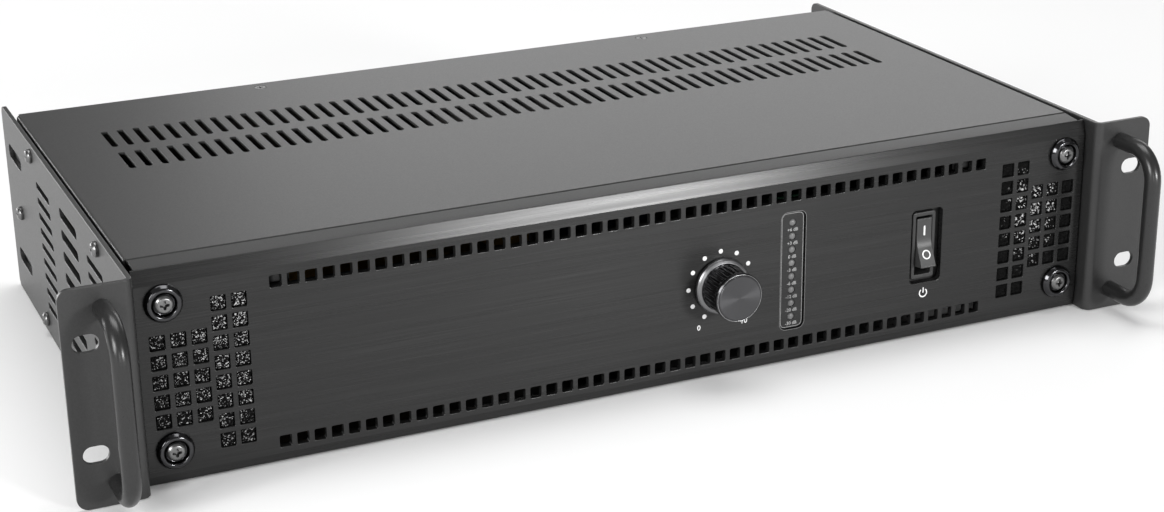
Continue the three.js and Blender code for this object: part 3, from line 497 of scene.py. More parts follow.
CASE_BLACK = (powder_coat("case_powder_coat", 0.022, 0.40), "case_paint")
HANDLE_BLACK = (powder_coat("handle_powder_coat", 0.014, 0.30), "case_paint")
# Painted shade: a darker, duller copy of the case paint for parts inside the case, where shade falls.
SHADED_INNER_BLACK = (powder_coat("inner_shaded_powder_coat", 0.012, 0.6), "case_paint")
FASCIA_BLACK = (brushed_black(), "fascia_black")
ZINC = (metal("bright_zinc", (0.62, 0.62, 0.61), 0.26), "zinc_steel")
BLACK_CHROME = (metal("black_chrome", (0.065, 0.065, 0.068), 0.11, 500, 0.05), "black_chrome")
DULL_NICKEL = (metal("dull_nickel_screw", (0.20, 0.20, 0.20), 0.28), "zinc_steel")
NICKEL = (metal("satin_nickel", (0.50, 0.50, 0.49), 0.34), "nickel_steel")
# Painted glints for each foam: cell scale, the centre and reach of the painted pool of light, its share, and
# the dull and bright stops. The right pool is a painted reflection of the fan behind the foam.
LEFT_PAINTED_GLINTS = (2500, (-172, -101, 70), (60, 60, 90), 0.22, 0.64, 1.0)
RIGHT_PAINTED_GLINTS = (1500, (187, -101, 50), (20, 40, 36), 0.55, 0.64, 0.98)
FOAMS = {
    "left": (foam_material("left_open_cell_foam", *LEFT_PAINTED_GLINTS), "filter_foam"),
    "right": (foam_material("right_open_cell_foam", *RIGHT_PAINTED_GLINTS), "filter_foam"),
}
BLACK_PLASTIC = (plastic("black_plastic", 0.020, 0.42), "black_plastic")
SWITCH_PLASTIC = (plastic("switch_plastic", 0.035, 0.33), "black_plastic")
INK = (plastic("white_print", 0.75, 0.5), "fascia_black")
DIM_INK = (plastic("grey_print", 0.34, 0.5), "fascia_black")
KNOB_FACE = (spun_metal("spun_knob_face", (0.085, 0.085, 0.088), 0.26), "knob_metal")
KNOB_DARK = (metal("dark_anodised_knob", (0.07, 0.07, 0.073), 0.16), "knob_metal")
# Partly painted light: the skirt's lighter tone stands in for the brightness its forward-facing cone catches;
# its satin roughness is its own.
KNOB_SKIRT_LIT = (metal("knob_skirt_lit_metal", (0.22, 0.22, 0.225), 0.28), "knob_metal")
# Painted highlight: a lighter metal for the ring along the knob's front edge.
KNOB_EDGE_HIGHLIGHT = (metal("knob_edge_highlight_metal", (0.36, 0.36, 0.365), 0.24), "knob_metal")
# Painted highlight: a lighter metal for the display window's edge, standing in for the highlight along that
# edge.
EDGE_HIGHLIGHT_METAL = (metal("window_edge_highlight_metal", (0.26, 0.26, 0.26), 0.3), "fascia_black")
LAMP = (plastic("frosted_lamp", 0.13, 0.35), "lens_grey")
BOARD_GREEN = (plastic("solder_mask", (0.008, 0.045, 0.02), 0.45), "circuit_board")
TAPE = (plastic("winding_tape", (0.20, 0.11, 0.015), 0.4), "taped_winding")
LAMINATION = (metal("varnished_laminations", (0.10, 0.095, 0.09), 0.45), "nickel_steel")
SLEEVE = (plastic("capacitor_sleeve", (0.01, 0.02, 0.05), 0.35), "capacitor_sleeve")


# ---- Case ----

RACK_SLOT = (10, 7)
RACK_SLOT_X = 232.5
RACK_SLOT_Z = 22.225
SIDE_SCREW_HOLE = 1.75
VENT = 3.0
# Groups of side vents: distance behind the ears, height, length, width, count, pitch
SIDE_VENTS = (
    (162.2, 43.6, 27.5, 3.0, 9, 7.0),
    (109.5, 46.0, 33.0, 4.4, 7, 9.6),
    (61.0, 43.6, 28.0, 3.0, 9, 7.0),
)
SUPPORT_SLOT = (28.5, 6.4)
SUPPORT_SLOT_Y = 225.3
SUPPORT_SLOT_HEIGHTS = (19.4, 69.6)
SIDE_SCREWS = [Box(f"side_screw_right_{i}") for i in range(1, 6)]


def bend_of(half, radius, thickness, steps=6):
    """For a sheet whose sides fold up at a radius. Gives the half width of its flat part, the place
    in the flat sheet for a height, the fold itself, and the places to slice the sheet at."""
    flat = half - radius
    middle = radius - thickness / 2
    bend = middle * math.pi / 2

    def rise_to(z):
        return flat + bend + z - radius

    def fold(u, v, w):
        side = math.copysign(1, u)
        u = abs(u)
        if u <= flat:
            return side * u, v, w
        if u >= flat + bend:
            return side * (half - w), v, radius + u - flat - bend
        angle = (u - flat) / middle
        reach = radius - w
        return side * (flat + reach * math.sin(angle)), v, radius - reach * math.cos(angle)

    slices = [s * (flat + bend * k / steps) for s in (-1, 1) for k in range(steps + 1)]
    return flat, rise_to, fold, slices


def both_sides(right):
    return right + [(-u, v) for u, v in reversed(right)]


def side_plate():
    """The right side plate: a long sheet folded outwards at its front into the rack ear."""
    _, along, fold, slices = bend_of(PLATE.width, PLATE_BEND, PLATE_T, 10)
    end = along(PLATE.depth)
    corners = [(0, PLATE.z0), (end, PLATE.z0), (end, PLATE.z1), (0, PLATE.z1)]
    holes = [slot(PLATE.x1 - RACK_SLOT_X, MID_Z + s * RACK_SLOT_Z, *RACK_SLOT, steps=14) for s in (-1, 1)]
    for y, z, length, width, count, pitch in SIDE_VENTS:
        holes += [slot(along(y), v, length, width) for v in spread(count, pitch, z)]
    holes += [slot(along(SUPPORT_SLOT_Y), z, *SUPPORT_SLOT, steps=12) for z in SUPPORT_SLOT_HEIGHTS]
    holes += [circle(along(screw.y - EAR_Y), screw.z, SIDE_SCREW_HOLE, 20) for screw in SIDE_SCREWS]
    bm = sheet(fillet(corners, [4.5, 4, 4, 4.5], 8), holes, PLATE_T, 0.25)
    slice_at(bm, 0, slices)

    def place(u, v, w):
        out, _, back = fold(u, v, w)
        return PLATE.x1 - out, EAR_Y + back, v

    return shape(bm, place)


def chassis_tray():
    """A floor whose sides fold up, low at the front and high at the rear."""
    flat, rise_to, fold, slices = bend_of(TRAY.x1, 2.2, SHEET_T)
    low, high = rise_to(12.0), rise_to(TRAY.z1)
    step_y = EAR_Y + 200
    right = [(low, TRAY.y0), (low, step_y), (high, step_y), (high, TRAY.y1)]
    right += [(flat + 3.5, TRAY.y1), (flat + 3.5, REAR.y1), (flat, REAR.y1)]
    holes = []
    for screw in SIDE_SCREWS[2:]:
        holes += [circle(s * rise_to(screw.z), screw.y, SIDE_SCREW_HOLE, 16) for s in (-1, 1)]
    return shape(slice_at(sheet(both_sides(right), holes, SHEET_T), 0, slices), fold)


COVER_STRIP = 10.0
COVER_DROP = 0.9
CREASE_DEPTH = 0.9
CREASE_WIDTH = 1.6
COVER_SLOTS = 53
COVER_SLOT_PITCH = 7.0
COVER_SLOT_LENGTH = 24.0
COVER_SLOT_ROWS = (141.5, 174.3)
COVER_SCREWS = [Box(f"cover_screw_{i}") for i in (1, 2)]


def top_cover():
    """A slotted sheet with a lip down each side, and a strip that a crease sets off along its front."""
    flat, rise_to, fold, slices = bend_of(COVER.x1, 1.4, COVER_T)
    lip = rise_to(COVER.height)
    lip_front = COVER.y0 + COVER_STRIP + CREASE_WIDTH + 0.4
    lip_rear = REAR.y1 - SHEET_T - 0.3
    right = [(flat, COVER.y0), (flat, lip_front), (lip, lip_front)]
    right += [(lip, lip_rear), (flat, lip_rear), (flat, COVER.y1)]
    holes = []
    for y in COVER_SLOT_ROWS:
        places = spread(COVER_SLOTS, COVER_SLOT_PITCH)
        holes += [slot(x, EAR_Y + y, COVER_SLOT_LENGTH, VENT, True) for x in places]
    holes += [circle(screw.x, screw.y, 3.0, 28) for screw in COVER_SCREWS]
    for screw in SIDE_SCREWS[:2]:
        holes += [circle(s * rise_to(COVER.z1 - screw.z), screw.y, SIDE_SCREW_HOLE, 16) for s in (-1, 1)]
    bm = sheet(both_sides(right), holes, COVER_T, 0.18)
    slice_at(bm, 0, slices)
    crease = COVER.y0 + COVER_STRIP
    slice_at(bm, 1, [COVER.y0 + 0.6, COVER.y0 + 1.2, *(crease + CREASE_WIDTH * k / 6 for k in range(7))])
    shape(bm, fold)

    def lower(x, y, z):
        short = max(0.0, crease - y)
        groove = CREASE_DEPTH * math.sin(math.pi * min(1.0, max(0.0, (y - crease) / CREASE_WIDTH)))
        nose = 0.5 * max(0.0, (COVER.y0 + 1.2 - y) / 1.2) ** 2
        return x, y, COVER.z1 - z - COVER_DROP * short / COVER_STRIP - groove - nose

    return shape(bm, lower)


EXHAUST_SLOTS = 12
EXHAUST_X = -82.0
EXHAUST_Z = 34.0
EXHAUST_LENGTH = 30.0
INLET = Box("mains_inlet")
XLR = Box("xlr_input")
JACK = Box("link_jack")
GROUND = Box("ground_switch_body")
TERMINALS = Box("terminal_block")


def rear_panel():
    exhausts = spread(EXHAUST_SLOTS, COVER_SLOT_PITCH, EXHAUST_X)
    holes = [slot(x, EXHAUST_Z, EXHAUST_LENGTH, VENT, True) for x in exhausts]
    holes += [
        rect(INLET.x, INLET.z, 28.4, 32.4, 1),
        circle(XLR.x, MID_Z, 11.9, 40),
        circle(JACK.x, MID_Z, 5.6, 32),
        rect(GROUND.x, MID_Z, 9, 5, 0.4),
        rect(TERMINALS.x, MID_Z, 50, 9, 0.5),
    ]
    outline = rect(0, REAR.z, REAR.width, REAR.height, 0.6)
    panel = slab(outline, holes, REAR.y1 - SHEET_T, SHEET_T)
    reach = (REAR.y0, REAR.y1 - 0.2)
    flanges = [block(3 - REAR.x1, REAR.x1 - 3, *reach, REAR.z1 - SHEET_T, REAR.z1, 0.2)]
    for x in (REAR.x0, REAR.x1 - SHEET_T):
        flanges.append(block(x, x + SHEET_T, *reach, REAR.z0, COVER.z0 - 0.5, 0.2))
    return joined(panel, *flanges)


# ---- Front panel ----

ROW_COUNT = 46
ROW_PITCH = 7.03
ROW_SQUARE = 4.8
ROW_HEIGHTS = (8.9, 75.3)
GRILLE_PITCH = 8.04
GRILLE_SQUARE = 6.0
GRILLE_X = 172.65
GRILLE_Z = 42.2
KNOB = Box("volume_knob")
LAMPS = Box("led_overlay")
# Openings: width, height and the corners' radius
WINDOW = (11.8, 52.8, 3.0)
LENSES = Box("led_lens_strip")
LAMP_COUNT = 8
LAMP_PITCH = 6.04
LAMP_TOP = 62.9
SWITCH = Box("power_switch_housing")
SWITCH_OPENING = (15.6, 33.6, 2.0)
SWITCH_OPENING_X = SWITCH.x + 0.6
WASHERS = [Box(f"fascia_washer_{i}") for i in range(1, 5)]
WASHER_BORE = 2.6
SHAFT_HOLE = 4.2
# The height of each leaning band, and how far back it leans
TOP_BEVEL = (6.3, 1.9)
BOTTOM_BEVEL = (3.8, 1.1)
# The height of the step behind the top edge, where the cover comes down to the panel
REBATE = 3.2


def grille_centres(side):
    for column in range(5):
        for z in spread(8 if column < 2 else 5, GRILLE_PITCH, GRILLE_Z):
            yield side * (GRILLE_X + column * GRILLE_PITCH), z


def lamp_heights():
    return [LAMP_TOP - i * LAMP_PITCH for i in range(LAMP_COUNT)]


def front_fascia():
    """A thick plate with leaning bands along its top and bottom edges."""
    holes = []
    for z in ROW_HEIGHTS:
        holes += [rect(x, z, ROW_SQUARE, ROW_SQUARE, 0.6, 4) for x in spread(ROW_COUNT, ROW_PITCH)]
    for side in (-1, 1):
        holes += [rect(x, z, GRILLE_SQUARE, GRILLE_SQUARE, 0.4, 3) for x, z in grille_centres(side)]
    holes.append(rect(LAMPS.x, LAMPS.z, *WINDOW, 10))
    holes.append(rect(SWITCH_OPENING_X, SWITCH.z, *SWITCH_OPENING, 8))
    holes += [circle(w.x, w.z, WASHER_BORE, 20) for w in WASHERS]
    holes.append(circle(KNOB.x, KNOB.z, SHAFT_HOLE, 32))
    plate = sheet(rect(0, FASCIA.z, FASCIA.width, FASCIA.height), holes, FASCIA.depth, 0.22)
    top = FASCIA.z1 - TOP_BEVEL[0]
    bottom = FASCIA.z0 + BOTTOM_BEVEL[0]
    rebate = FASCIA.z1 - REBATE
    slice_at(plate, 1, [bottom, top, rebate - 0.01, rebate])
    rebate_y = COVER.y0 - 0.35

    def lean(u, v, w):
        y = FASCIA.y0 + w
        if w < FASCIA.depth / 2:
            y += max(0.0, v - top) * TOP_BEVEL[1] / TOP_BEVEL[0]
            y += max(0.0, bottom - v) * BOTTOM_BEVEL[1] / BOTTOM_BEVEL[0]
        elif v >= rebate:
            y = min(y, rebate_y)
        return u, y, v

    return shape(plate, lean)


def cup_washer(place):
    outline = [(WASHER_BORE, 0.0), (7.5, 0.0), (7.4, 1.3), (6.3, 2.8), (5.0, 2.9), (4.3, 1.3)]
    outline.append((WASHER_BORE, 1.1))
    radii = [0, 0.1, 1.0, 1.1, 0.7, 0.5, 0]
    return lathe(fillet(outline, radii, 7), FRONT, (place.x, FASCIA.y0, place.z), 80)


def cross_recess(basis, centre, reach, width, top, depth):
    """A cutter for a cross recess: narrower at the bottom, with its corners drawn in."""
    across, up, along = basis
    w = width / 2
    corners = [(reach, -w), (reach, w), (w * 1.5, w * 1.5), (w, reach), (-w, reach), (-w * 1.5, w * 1.5)]
    corners += [(-u, -v) for u, v in corners]
    levels = []
    for height, share in ((top + 0.5, 1.0), (top - depth, 0.5)):
        middle = Vector(centre) + along * height
        levels.append([middle + across * u * share + up * v * share for u, v in corners])
    return skinned(levels)


def pan_screw(basis, centre, head, shank, base, crown, length):
    """A cross-recess screw whose head stands on base and rises to crown."""
    outline = [(0, base - length), (shank, base - length), (shank, base), (head, base)]
    outline += [(head, base + 0.45 * (crown - base)), (head * 0.72, crown - 0.12), (0, crown)]
    outline = fillet(outline, [0, 0.2, 0, 0.12, head * 0.22, head * 0.3, 0], 5)
    body = lathe(outline, basis, centre, 40)
    return cut(body, cross_recess(basis, centre, head * 0.56, head * 0.27, crown, 0.8 * (crown - base)))


def flat_screw(centre, head, shank):
    """A countersunk screw that points down, with a cross recess."""
    outline = [(0, -6), (shank, -6), (shank, -1.3), (head, -0.25), (head, -0.04), (0, -0.04)]
    body = lathe(outline, UP, centre, 36)
    return cut(body, cross_recess(UP, centre, head * 0.6, head * 0.24, 0, 1.2))


# Pan head screws: the head's and the shank's radius, where the head starts and ends, and the length
FASCIA_SCREW = (3.75, 2.2, 1.35, 3.3, 10)
SIDE_SCREW = (3.2, 1.4, 0.0, 2.4, 4.7)
REAR_SCREW = (2.7, 1.2, 0.0, 1.7, 5)
HANDLE_SCREW = (4.2, 1.9, 0.0, 2.6, 1.5)

HANDLES = {"right": Box("handle_right"), "left": Box("handle_left")}
ROD = 3.6
HANDLE_BEND = 13.0


def handle(place):
    front = place.y0 + ROD
    turn_y = front + HANDLE_BEND
    points = []
    for side, z in ((1, place.z1 - ROD), (-1, place.z0 + ROD)):
        leg = [Vector((place.x, y, z)) for y in (EAR_Y + 0.2, EAR_Y - 1, turn_y + 1)]
        for k in range(15):
            a = math.pi / 2 * k / 14
            drop = HANDLE_BEND * (1 - math.cos(a))
            leg.append(Vector((place.x, turn_y - HANDLE_BEND * math.sin(a), z - side * drop)))
        points += leg if side > 0 else leg[::-1]
    return tube(points, ROD, 40)


# ---- Knob ----

FLUTES = 26
KNOB_HEIGHT = FASCIA.y0 - KNOB.y0
KNOB_PLACE = (KNOB.x, FASCIA.y0, KNOB.z)


def knob():
    """The fluted barrel, bored to fit the shaft. Each flute runs out in a scallop near the skirt."""
    outline = [(3.3, 4.5), (8.0, 4.5), (8.0, 3.2), (10.6, 3.2), (10.1, 4.2), (10.1, 14.6), (10.5, 15.2)]
    outline += [(10.5, KNOB_HEIGHT - 0.9), (9.7, KNOB_HEIGHT - 0.1), (3.3, KNOB_HEIGHT - 0.1)]
    radii = [0, 0, 0, 0.1, 0.4, 0.3, 0.25, 0.12, 0.1, 0]
    profile = fillet(outline, radii, 4)
    dense = []
    for a, b in zip(profile, profile[1:]):
        steps = 16 if abs(a[1] - b[1]) > 8 and a[0] > 9 else 1
        dense += [(a[0] + (b[0] - a[0]) * k / steps, a[1] + (b[1] - a[1]) * k / steps) for k in range(steps)]
    dense.append(profile[-1])

    def flute(radius, along, angle):
        if radius < 9 or along < 3.9 or along > 14.5:
            return radius
        fade = min(1.0, (along - 3.9) / 1.6, (14.5 - along) / 0.9)
        return radius - 0.65 * fade * (1 - abs(math.sin(angle * FLUTES / 2)) ** 0.8)

    return lathe(dense, FRONT, KNOB_PLACE, FLUTES * 14, flute)


def knob_skirt():
    """A dished flange behind the barrel."""
    outline = [(8.2, 0.5), (11.8, 0.5), (12.2, 1.0), (12.2, 2.3), (11.6, 3.0), (10.6, 3.5), (8.2, 3.5)]
    return lathe(fillet(outline, [0, 0.2, 0.3, 0.5, 0.5, 0.3, 0], 4), FRONT, KNOB_PLACE, 120)


def knob_face():
    """The spun disc on the knob's front, with a fine pointer groove at the top."""
    profile = [(0, KNOB_HEIGHT - 3.4), (9.5, KNOB_HEIGHT - 3.4), (9.5, KNOB_HEIGHT - 0.2), (9.3, KNOB_HEIGHT)]
    disc = lathe([*profile, (0, KNOB_HEIGHT)], FRONT, KNOB_PLACE, 96)
    groove = bar(KNOB.x, KNOB.z + 6.15, 0.4, 7.3, KNOB.y0 - 1, KNOB.y0 + 0.16, 0.05, 1)
    return cut(disc, groove)


def painted_edge_highlight(radius, height, size):
    """A ring of lighter metal that follows the knob's front edge: a painted highlight for that edge."""
    return lathe(circle(radius, height, size, 12), FRONT, KNOB_PLACE, 96)


# ---- Power switch ----

BEZEL_Y = SWITCH.y0
PIVOT = Vector((SWITCH.x, EAR_Y + 12.3, SWITCH.z + 0.6))
SWING = 13
MARK_Z = 5.3
MARK_T = 0.12


def switch_housing():
    """A bezel in front of a sleeve round the rocker, with a back wall and three contact tabs."""
    x, z = SWITCH.x, SWITCH.z
    well = [rect(x, z, 8.0, 26.6, 0.5)]
    sleeve = (10.4, 28)
    rim = rect(x, z, SWITCH.width, SWITCH.height, 1.2)
    parts = [
        slab(rim, well, BEZEL_Y, 2.6, 0.45, 4),
        slab(rect(x, z, *sleeve, 0.6), well, BEZEL_Y + 2.4, 22, 0.3),
        bar(x, z, *sleeve, BEZEL_Y + 24, SWITCH.y1 - 8),
    ]
    parts += [bar(x, z + s, 0.8, 4.8, SWITCH.y1 - 8.2, SWITCH.y1, 0.1) for s in (-9, 0, 9)]
    return joined(*parts)


def tipped(bm):
    """Puts a shape that was drawn about the rocker's pivot in its resting place, with the top pressed in."""
    turn = Matrix.Rotation(math.radians(-SWING), 3, "X")
    return shape(bm, lambda x, y, z: PIVOT + turn @ Vector((x, y, z)))


ROCKER_RISE = BEZEL_Y - PIVOT.y
ROCKER_HALF = 11.0
ROCKER_SINK = 0.45
FACE_DIP = 2.45


def rocker():
    """A hollow-faced paddle on a pivot pin."""
    middle = ROCKER_RISE - ROCKER_SINK
    outline = [(middle - FACE_DIP, -ROCKER_HALF), (4.4, -10), (7, -3), (7, 3), (4.4, 10)]
    outline += [(middle - FACE_DIP, ROCKER_HALF), (middle, 0.0)]
    body = sideways(sheet(fillet(outline, [0.5, 0.5, 1, 1, 0.5, 0.5, 12], 8), [], 7.4, 0.3, 3), -3.7)
    pin = lathe([(0, -4.5), (1.1, -4.5), (1.1, 4.5), (0, 4.5)], RIGHT, (0, 0, 0), 20)
    return tipped(joined(body, pin))


def rocker_mark(bm, height):
    """Lays a mark that was drawn flat on the rocker's face, at this height above the middle."""
    slope = math.atan2(FACE_DIP, ROCKER_HALF) * math.copysign(1, height)
    face = ROCKER_RISE - ROCKER_SINK - FACE_DIP * abs(height) / ROCKER_HALF - 0.08
    turn = Matrix.Rotation(slope, 3, "X")
    shape(bm, lambda u, v, w: Vector((0, face, height)) + turn @ Vector((u, w, v)))
    return tipped(bm)


# ---- Level display ----


def overlay():
    """The display's face, which nearly fills the panel's window, and its flange behind the panel."""
    holes = [circle(LAMPS.x, z, 1.65, 28) for z in lamp_heights()]
    width, height, radius = WINDOW
    front = rect(LAMPS.x, LAMPS.z, width - 0.6, height - 0.6, radius - 0.3, 10)
    flange = rect(LAMPS.x, LAMPS.z, LAMPS.width, LAMPS.height, 1)
    behind = FASCIA.y1 + 0.3
    return joined(
        slab(front, holes, LAMPS.y0, 2.6, 0.1),
        slab(flange, holes, behind, LAMPS.y1 - behind, 0.1),
    )


def lamp_strip():
    base = block(LENSES.x - 4, LENSES.x + 4, LENSES.y1 - 1.5, LENSES.y1, LENSES.z0, LENSES.z1, 0.2)
    dome = [(0, 0.3), (0.7, 0.24), (1.2, 0.05), (1.5, -0.3), (1.5, -4.9), (0, -4.9)]
    lenses = [lathe(dome, FRONT, (LAMPS.x, LAMPS.y0, z), 28) for z in lamp_heights()]
    return joined(base, *lenses)


def display_line(width, height, radius, y, line=0.2):
    """A thin line in the shape of a rounded rectangle, round the display's middle."""
    outer = rect(LAMPS.x, LAMPS.z, width, height, radius, 10)
    inner = rect(LAMPS.x, LAMPS.z, width - 2 * line, height - 2 * line, radius - line, 10)
    return slab(outer, [inner], y, 0.05, 0.01, 0)


# ---- Filters ----


PIT_DEPTH = 1.1
PIT_STEP = 0.36
CELL = 0.8
SWELL = 1.7
RIM_PIT = 0.8


def pitted(x0, z0, size, front, back):
    """A square foam block whose front is pitted by open cells."""
    count = round(size / PIT_STEP)
    bm = bmesh.new()
    grid = []
    for i in range(count + 1):
        x = x0 + size * i / count
        line = []
        for k in range(count + 1):
            z = z0 + size * k / count
            pit = RIM_PIT
            if 0 < i < count and 0 < k < count:
                distances, _ = noise.voronoi(Vector((x, front, z)) / CELL)
                swell = noise.noise(Vector((x, 3.0, z)) / SWELL)
                pit = max(0.0, 0.7 - distances[0]) + 0.4 * swell
            line.append(bm.verts.new((x, front + PIT_DEPTH * max(0.0, pit), z)))
        grid.append(line)
    for a, b in zip(grid, grid[1:]):
        for k in range(count):
            bm.faces.new([a[k], b[k], b[k + 1], a[k + 1]])
    rim = [e for e in bm.edges if e.is_boundary]
    made = bmesh.ops.extrude_edge_only(bm, edges=rim)["geom"]
    for vertex in (v for v in made if isinstance(v, bmesh.types.BMVert)):
        vertex.co.y = back
    bmesh.ops.contextual_create(bm, geom=[e for e in bm.edges if e.is_boundary])
    bmesh.ops.recalc_face_normals(bm, faces=bm.faces)
    return bm


FOAM_SINK = 0.45


def filter_foam(side):
    """A foam sheet that is pressed into the squares of the grille."""
    place = Box("filter_right" if side > 0 else "filter_left")
    reach = GRILLE_SQUARE / 2 - 0.15
    low = min(z for _, z in grille_centres(side)) - reach - 1
    high = max(z for _, z in grille_centres(side)) + reach + 1
    short = 2 * GRILLE_PITCH + GRILLE_SQUARE / 2 + 0.6
    step = side * (GRILLE_X + 1.5 * GRILLE_PITCH)
    inner, outer = sorted((step, place.x1 if side > 0 else place.x0))
    tall = sorted((step, place.x0 if side > 0 else place.x1))
    parts = [
        block(*tall, place.y0, place.y1, low, high),
        block(inner, outer, place.y0, place.y1, GRILLE_Z - short, GRILLE_Z + short),
    ]
    for x, z in grille_centres(side):
        parts.append(pitted(x - reach, z - reach, 2 * reach, FASCIA.y0 + FOAM_SINK, place.y0 + 0.5))
    return joined(*parts)


# ---- Print ----


PRINT_T = 0.06


def printed(outline, holes=()):
    return sheet(outline, holes, PRINT_T, 0.01, 0)


def print_on(bm, y):
    """Lays flat artwork on a face that looks forward at y."""
    return upright(bm, y - PRINT_T)


def number(text, x, z, height):
    """Digits as thin solids, with their middle at (x, z)."""
    curve = bpy.data.curves.new("number", "FONT")
    curve.body = text
    curve.size = height / 0.7
    curve.extrude = PRINT_T / 2
    curve.offset = height * 0.012
    curve.align_x = "CENTER"
    curve.align_y = "CENTER"
    curve.resolution_u = 3
    bm = mesh_of(curve, 1e-4)
    return shape(bm, lambda u, v, w: (x + u, z + v, w + PRINT_T / 2))


def power_symbol(x, z, radius, stroke):
    """A ring that is open at the top, with a bar in the gap."""
    gap = math.radians(38)
    steps = 40
    points = []
    for r, order in ((radius, range(steps + 1)), (radius - stroke, range(steps, -1, -1))):
        for k in order:
            a = math.pi / 2 + gap + (TAU - 2 * gap) * k / steps
            points.append((x + r * math.cos(a), z + r * math.sin(a)))
    bar = rect(x, z + radius * 0.62, stroke, radius * 1.15)
    return joined(printed(points), printed(bar))


DIAL_RADIUS = 14.9
DOT_RADIUS = 1.0
DIAL_NUMBERS = (("0", 21.4, 23.5), ("10", 42.6, 23.1))
DIAL_NUMBER_HEIGHT = 2.3


def dial():
    """Eleven dots, 30 degrees apart, and the numbers at both ends of their arc."""
    marks = []
    for k in range(11):
        a = math.radians(240 - 30 * k)
        x, z = KNOB.x + DIAL_RADIUS * math.cos(a), KNOB.z + DIAL_RADIUS * math.sin(a)
        marks.append(printed(circle(x, z, DOT_RADIUS, 24)))
    marks += [number(text, x, z, DIAL_NUMBER_HEIGHT) for text, x, z in DIAL_NUMBERS]
    return joined(*marks)


LABEL_DROP = 3.05
LABEL_HEIGHT = 1.45
LEVELS = ("+6 dB", "+3 dB", "0 dB", "-3 dB", "-6 dB", "-12 dB", "-20 dB", "-30 dB")


# ---- Rear panel pieces ----

# The faces that stand just behind the rear panel's outside, and just inside it
SKIN = REAR.y1 + 0.3
BEHIND = REAR.y1 - SHEET_T - 0.3
INLET_FLANGE = 3.0
INLET_SCREWS = [(INLET.x + dx, INLET.z) for dx in (-20, 20)]
XLR_FLANGE = 2.0
XLR_BORE = 9.6
XLR_SCREWS = [(XLR.x - 9.5 * s, MID_Z + 12 * s) for s in (-1, 1)]
JACK_BORE = 3.3


def mains_inlet():
    """A moulded housing with a socket above a drawer bay."""
    x, z = INLET.x, INLET.z
    mouth = [(12, -4), (12, 8), (8, 12.5), (-8, 12.5), (-12, 8), (-12, -4)]
    mouth = fillet([(x + u, z + v) for u, v in mouth], 1.2, 4)
    bay = rect(x, z - 10.15, 24, 8.7, 0.4, 3)
    screws = [circle(*place, 1.8, 24) for place in INLET_SCREWS]
    body = (28, 32)
    return joined(
        slab(rect(x, z, 50, 35, 3, 8), [mouth, bay, *screws], SKIN, INLET_FLANGE, 0.4),
        slab(rect(x, z, 30, 33, 2, 6), [mouth, bay], SKIN + 2.8, 2.2, 0.35),
        slab(rect(x, z, *body, 1), [mouth, bay], SKIN - 12, 12.4, 0.1),
        slab(rect(x, z, *body, 1), [bay], SKIN - 20, 8, 0.1),
        bar(x, z, *body, SKIN - 24, SKIN - 20),
    )


def inlet_blades():
    places = ((-7, 2.2), (7, 2.2), (0, 6.4))
    return joined(*(bar(INLET.x + u, INLET.z + v, 2, 4, SKIN - 12.5, SKIN + 0.5, 0.4) for u, v in places))


def fuse_drawer():
    """A drawer with a bed for the fuse and a lip to pull it by."""
    box = Box("fuse_drawer")
    tray = block(box.x0, box.x1, box.y0, SKIN + 5, box.z0, box.z1, 0.5)
    bed = block(box.x - 10, box.x + 10, SKIN - 17, SKIN - 11, box.z1 - 6.4, box.z1 + 2)
    lip = bar(box.x, box.z0 + 1.35, 10, 1.5, SKIN + 4.6, box.y1, 0.4)
    return joined(cut(tray, bed), lip)


def xlr_shell():
    """The flange, with the latch's bay above its bore, and the collar round the bore."""
    x, z = XLR.x, MID_Z
    holes = [circle(x, z, XLR_BORE, 64), rect(x, z + 12.2, 7.2, 4.2, 0.3, 3)]
    holes += [circle(*place, 1.7, 24) for place in XLR_SCREWS]
    profile = [(XLR_BORE, -17.8), (10.3, -17.8), (10.3, 3.5), (XLR_BORE, 3.5)]
    collar = lathe(fillet(profile, [0, 0, 0.25, 0.25], 3), BACK, (x, SKIN, z), 64)
    return joined(slab(rect(x, z, 26, 31, 2.5, 8), holes, SKIN, XLR_FLANGE), collar)


def xlr_insert():
    x, z = XLR.x, MID_Z
    contacts = []
    for degrees in (210, 330, 90):
        a = math.radians(-degrees)
        contacts.append(circle(x + 4 * math.cos(a), z + 4 * math.sin(a), 1.4, 24))
    core = slab(circle(x, z, 7.6, 56), contacts, SKIN - 9, 12.4, 0.3)
    return joined(core, slab(circle(x, z, 9.5, 56), [], SKIN - 17.6, 8.4))


def xlr_latch():
    x, z = XLR.x, MID_Z
    tab = slab(rect(x, z + 12.3, 6.4, 3.2, 0.8, 6), [], SKIN + 1.9, 3.5, 0.5, 3)
    return joined(tab, block(x - 2.5, x + 2.5, SKIN - 2.6, SKIN + 3, z + 10.4, z + 11.25, 0.15))


def jack_body():
    x, z = JACK.x, MID_Z
    return slab(rect(x, z, 16, 18, 1.5), [circle(x, z, JACK_BORE, 40)], BEHIND - 24, 24, 0.4)


def jack_nut():
    """The threaded neck with its hexagonal nut."""
    x, z = JACK.x, MID_Z
    hexagon = fillet(circle(x, z, 7.6, 6), 0.5, 3)
    nut = slab(hexagon, [circle(x, z, 5.3, 48)], SKIN, 2.5, 0.35)
    profile = [(JACK_BORE, -2.6), (5.1, -2.6)]
    for k in range(7):
        profile += [(5.2, -2.2 + k * 0.95), (4.9, -1.75 + k * 0.95)]
    profile += [(5.0, 4.3), (4.7, 4.5), (3.6, 4.5), (JACK_BORE, 4.2)]
    return joined(nut, lathe(profile, BACK, (x, SKIN, z), 48))


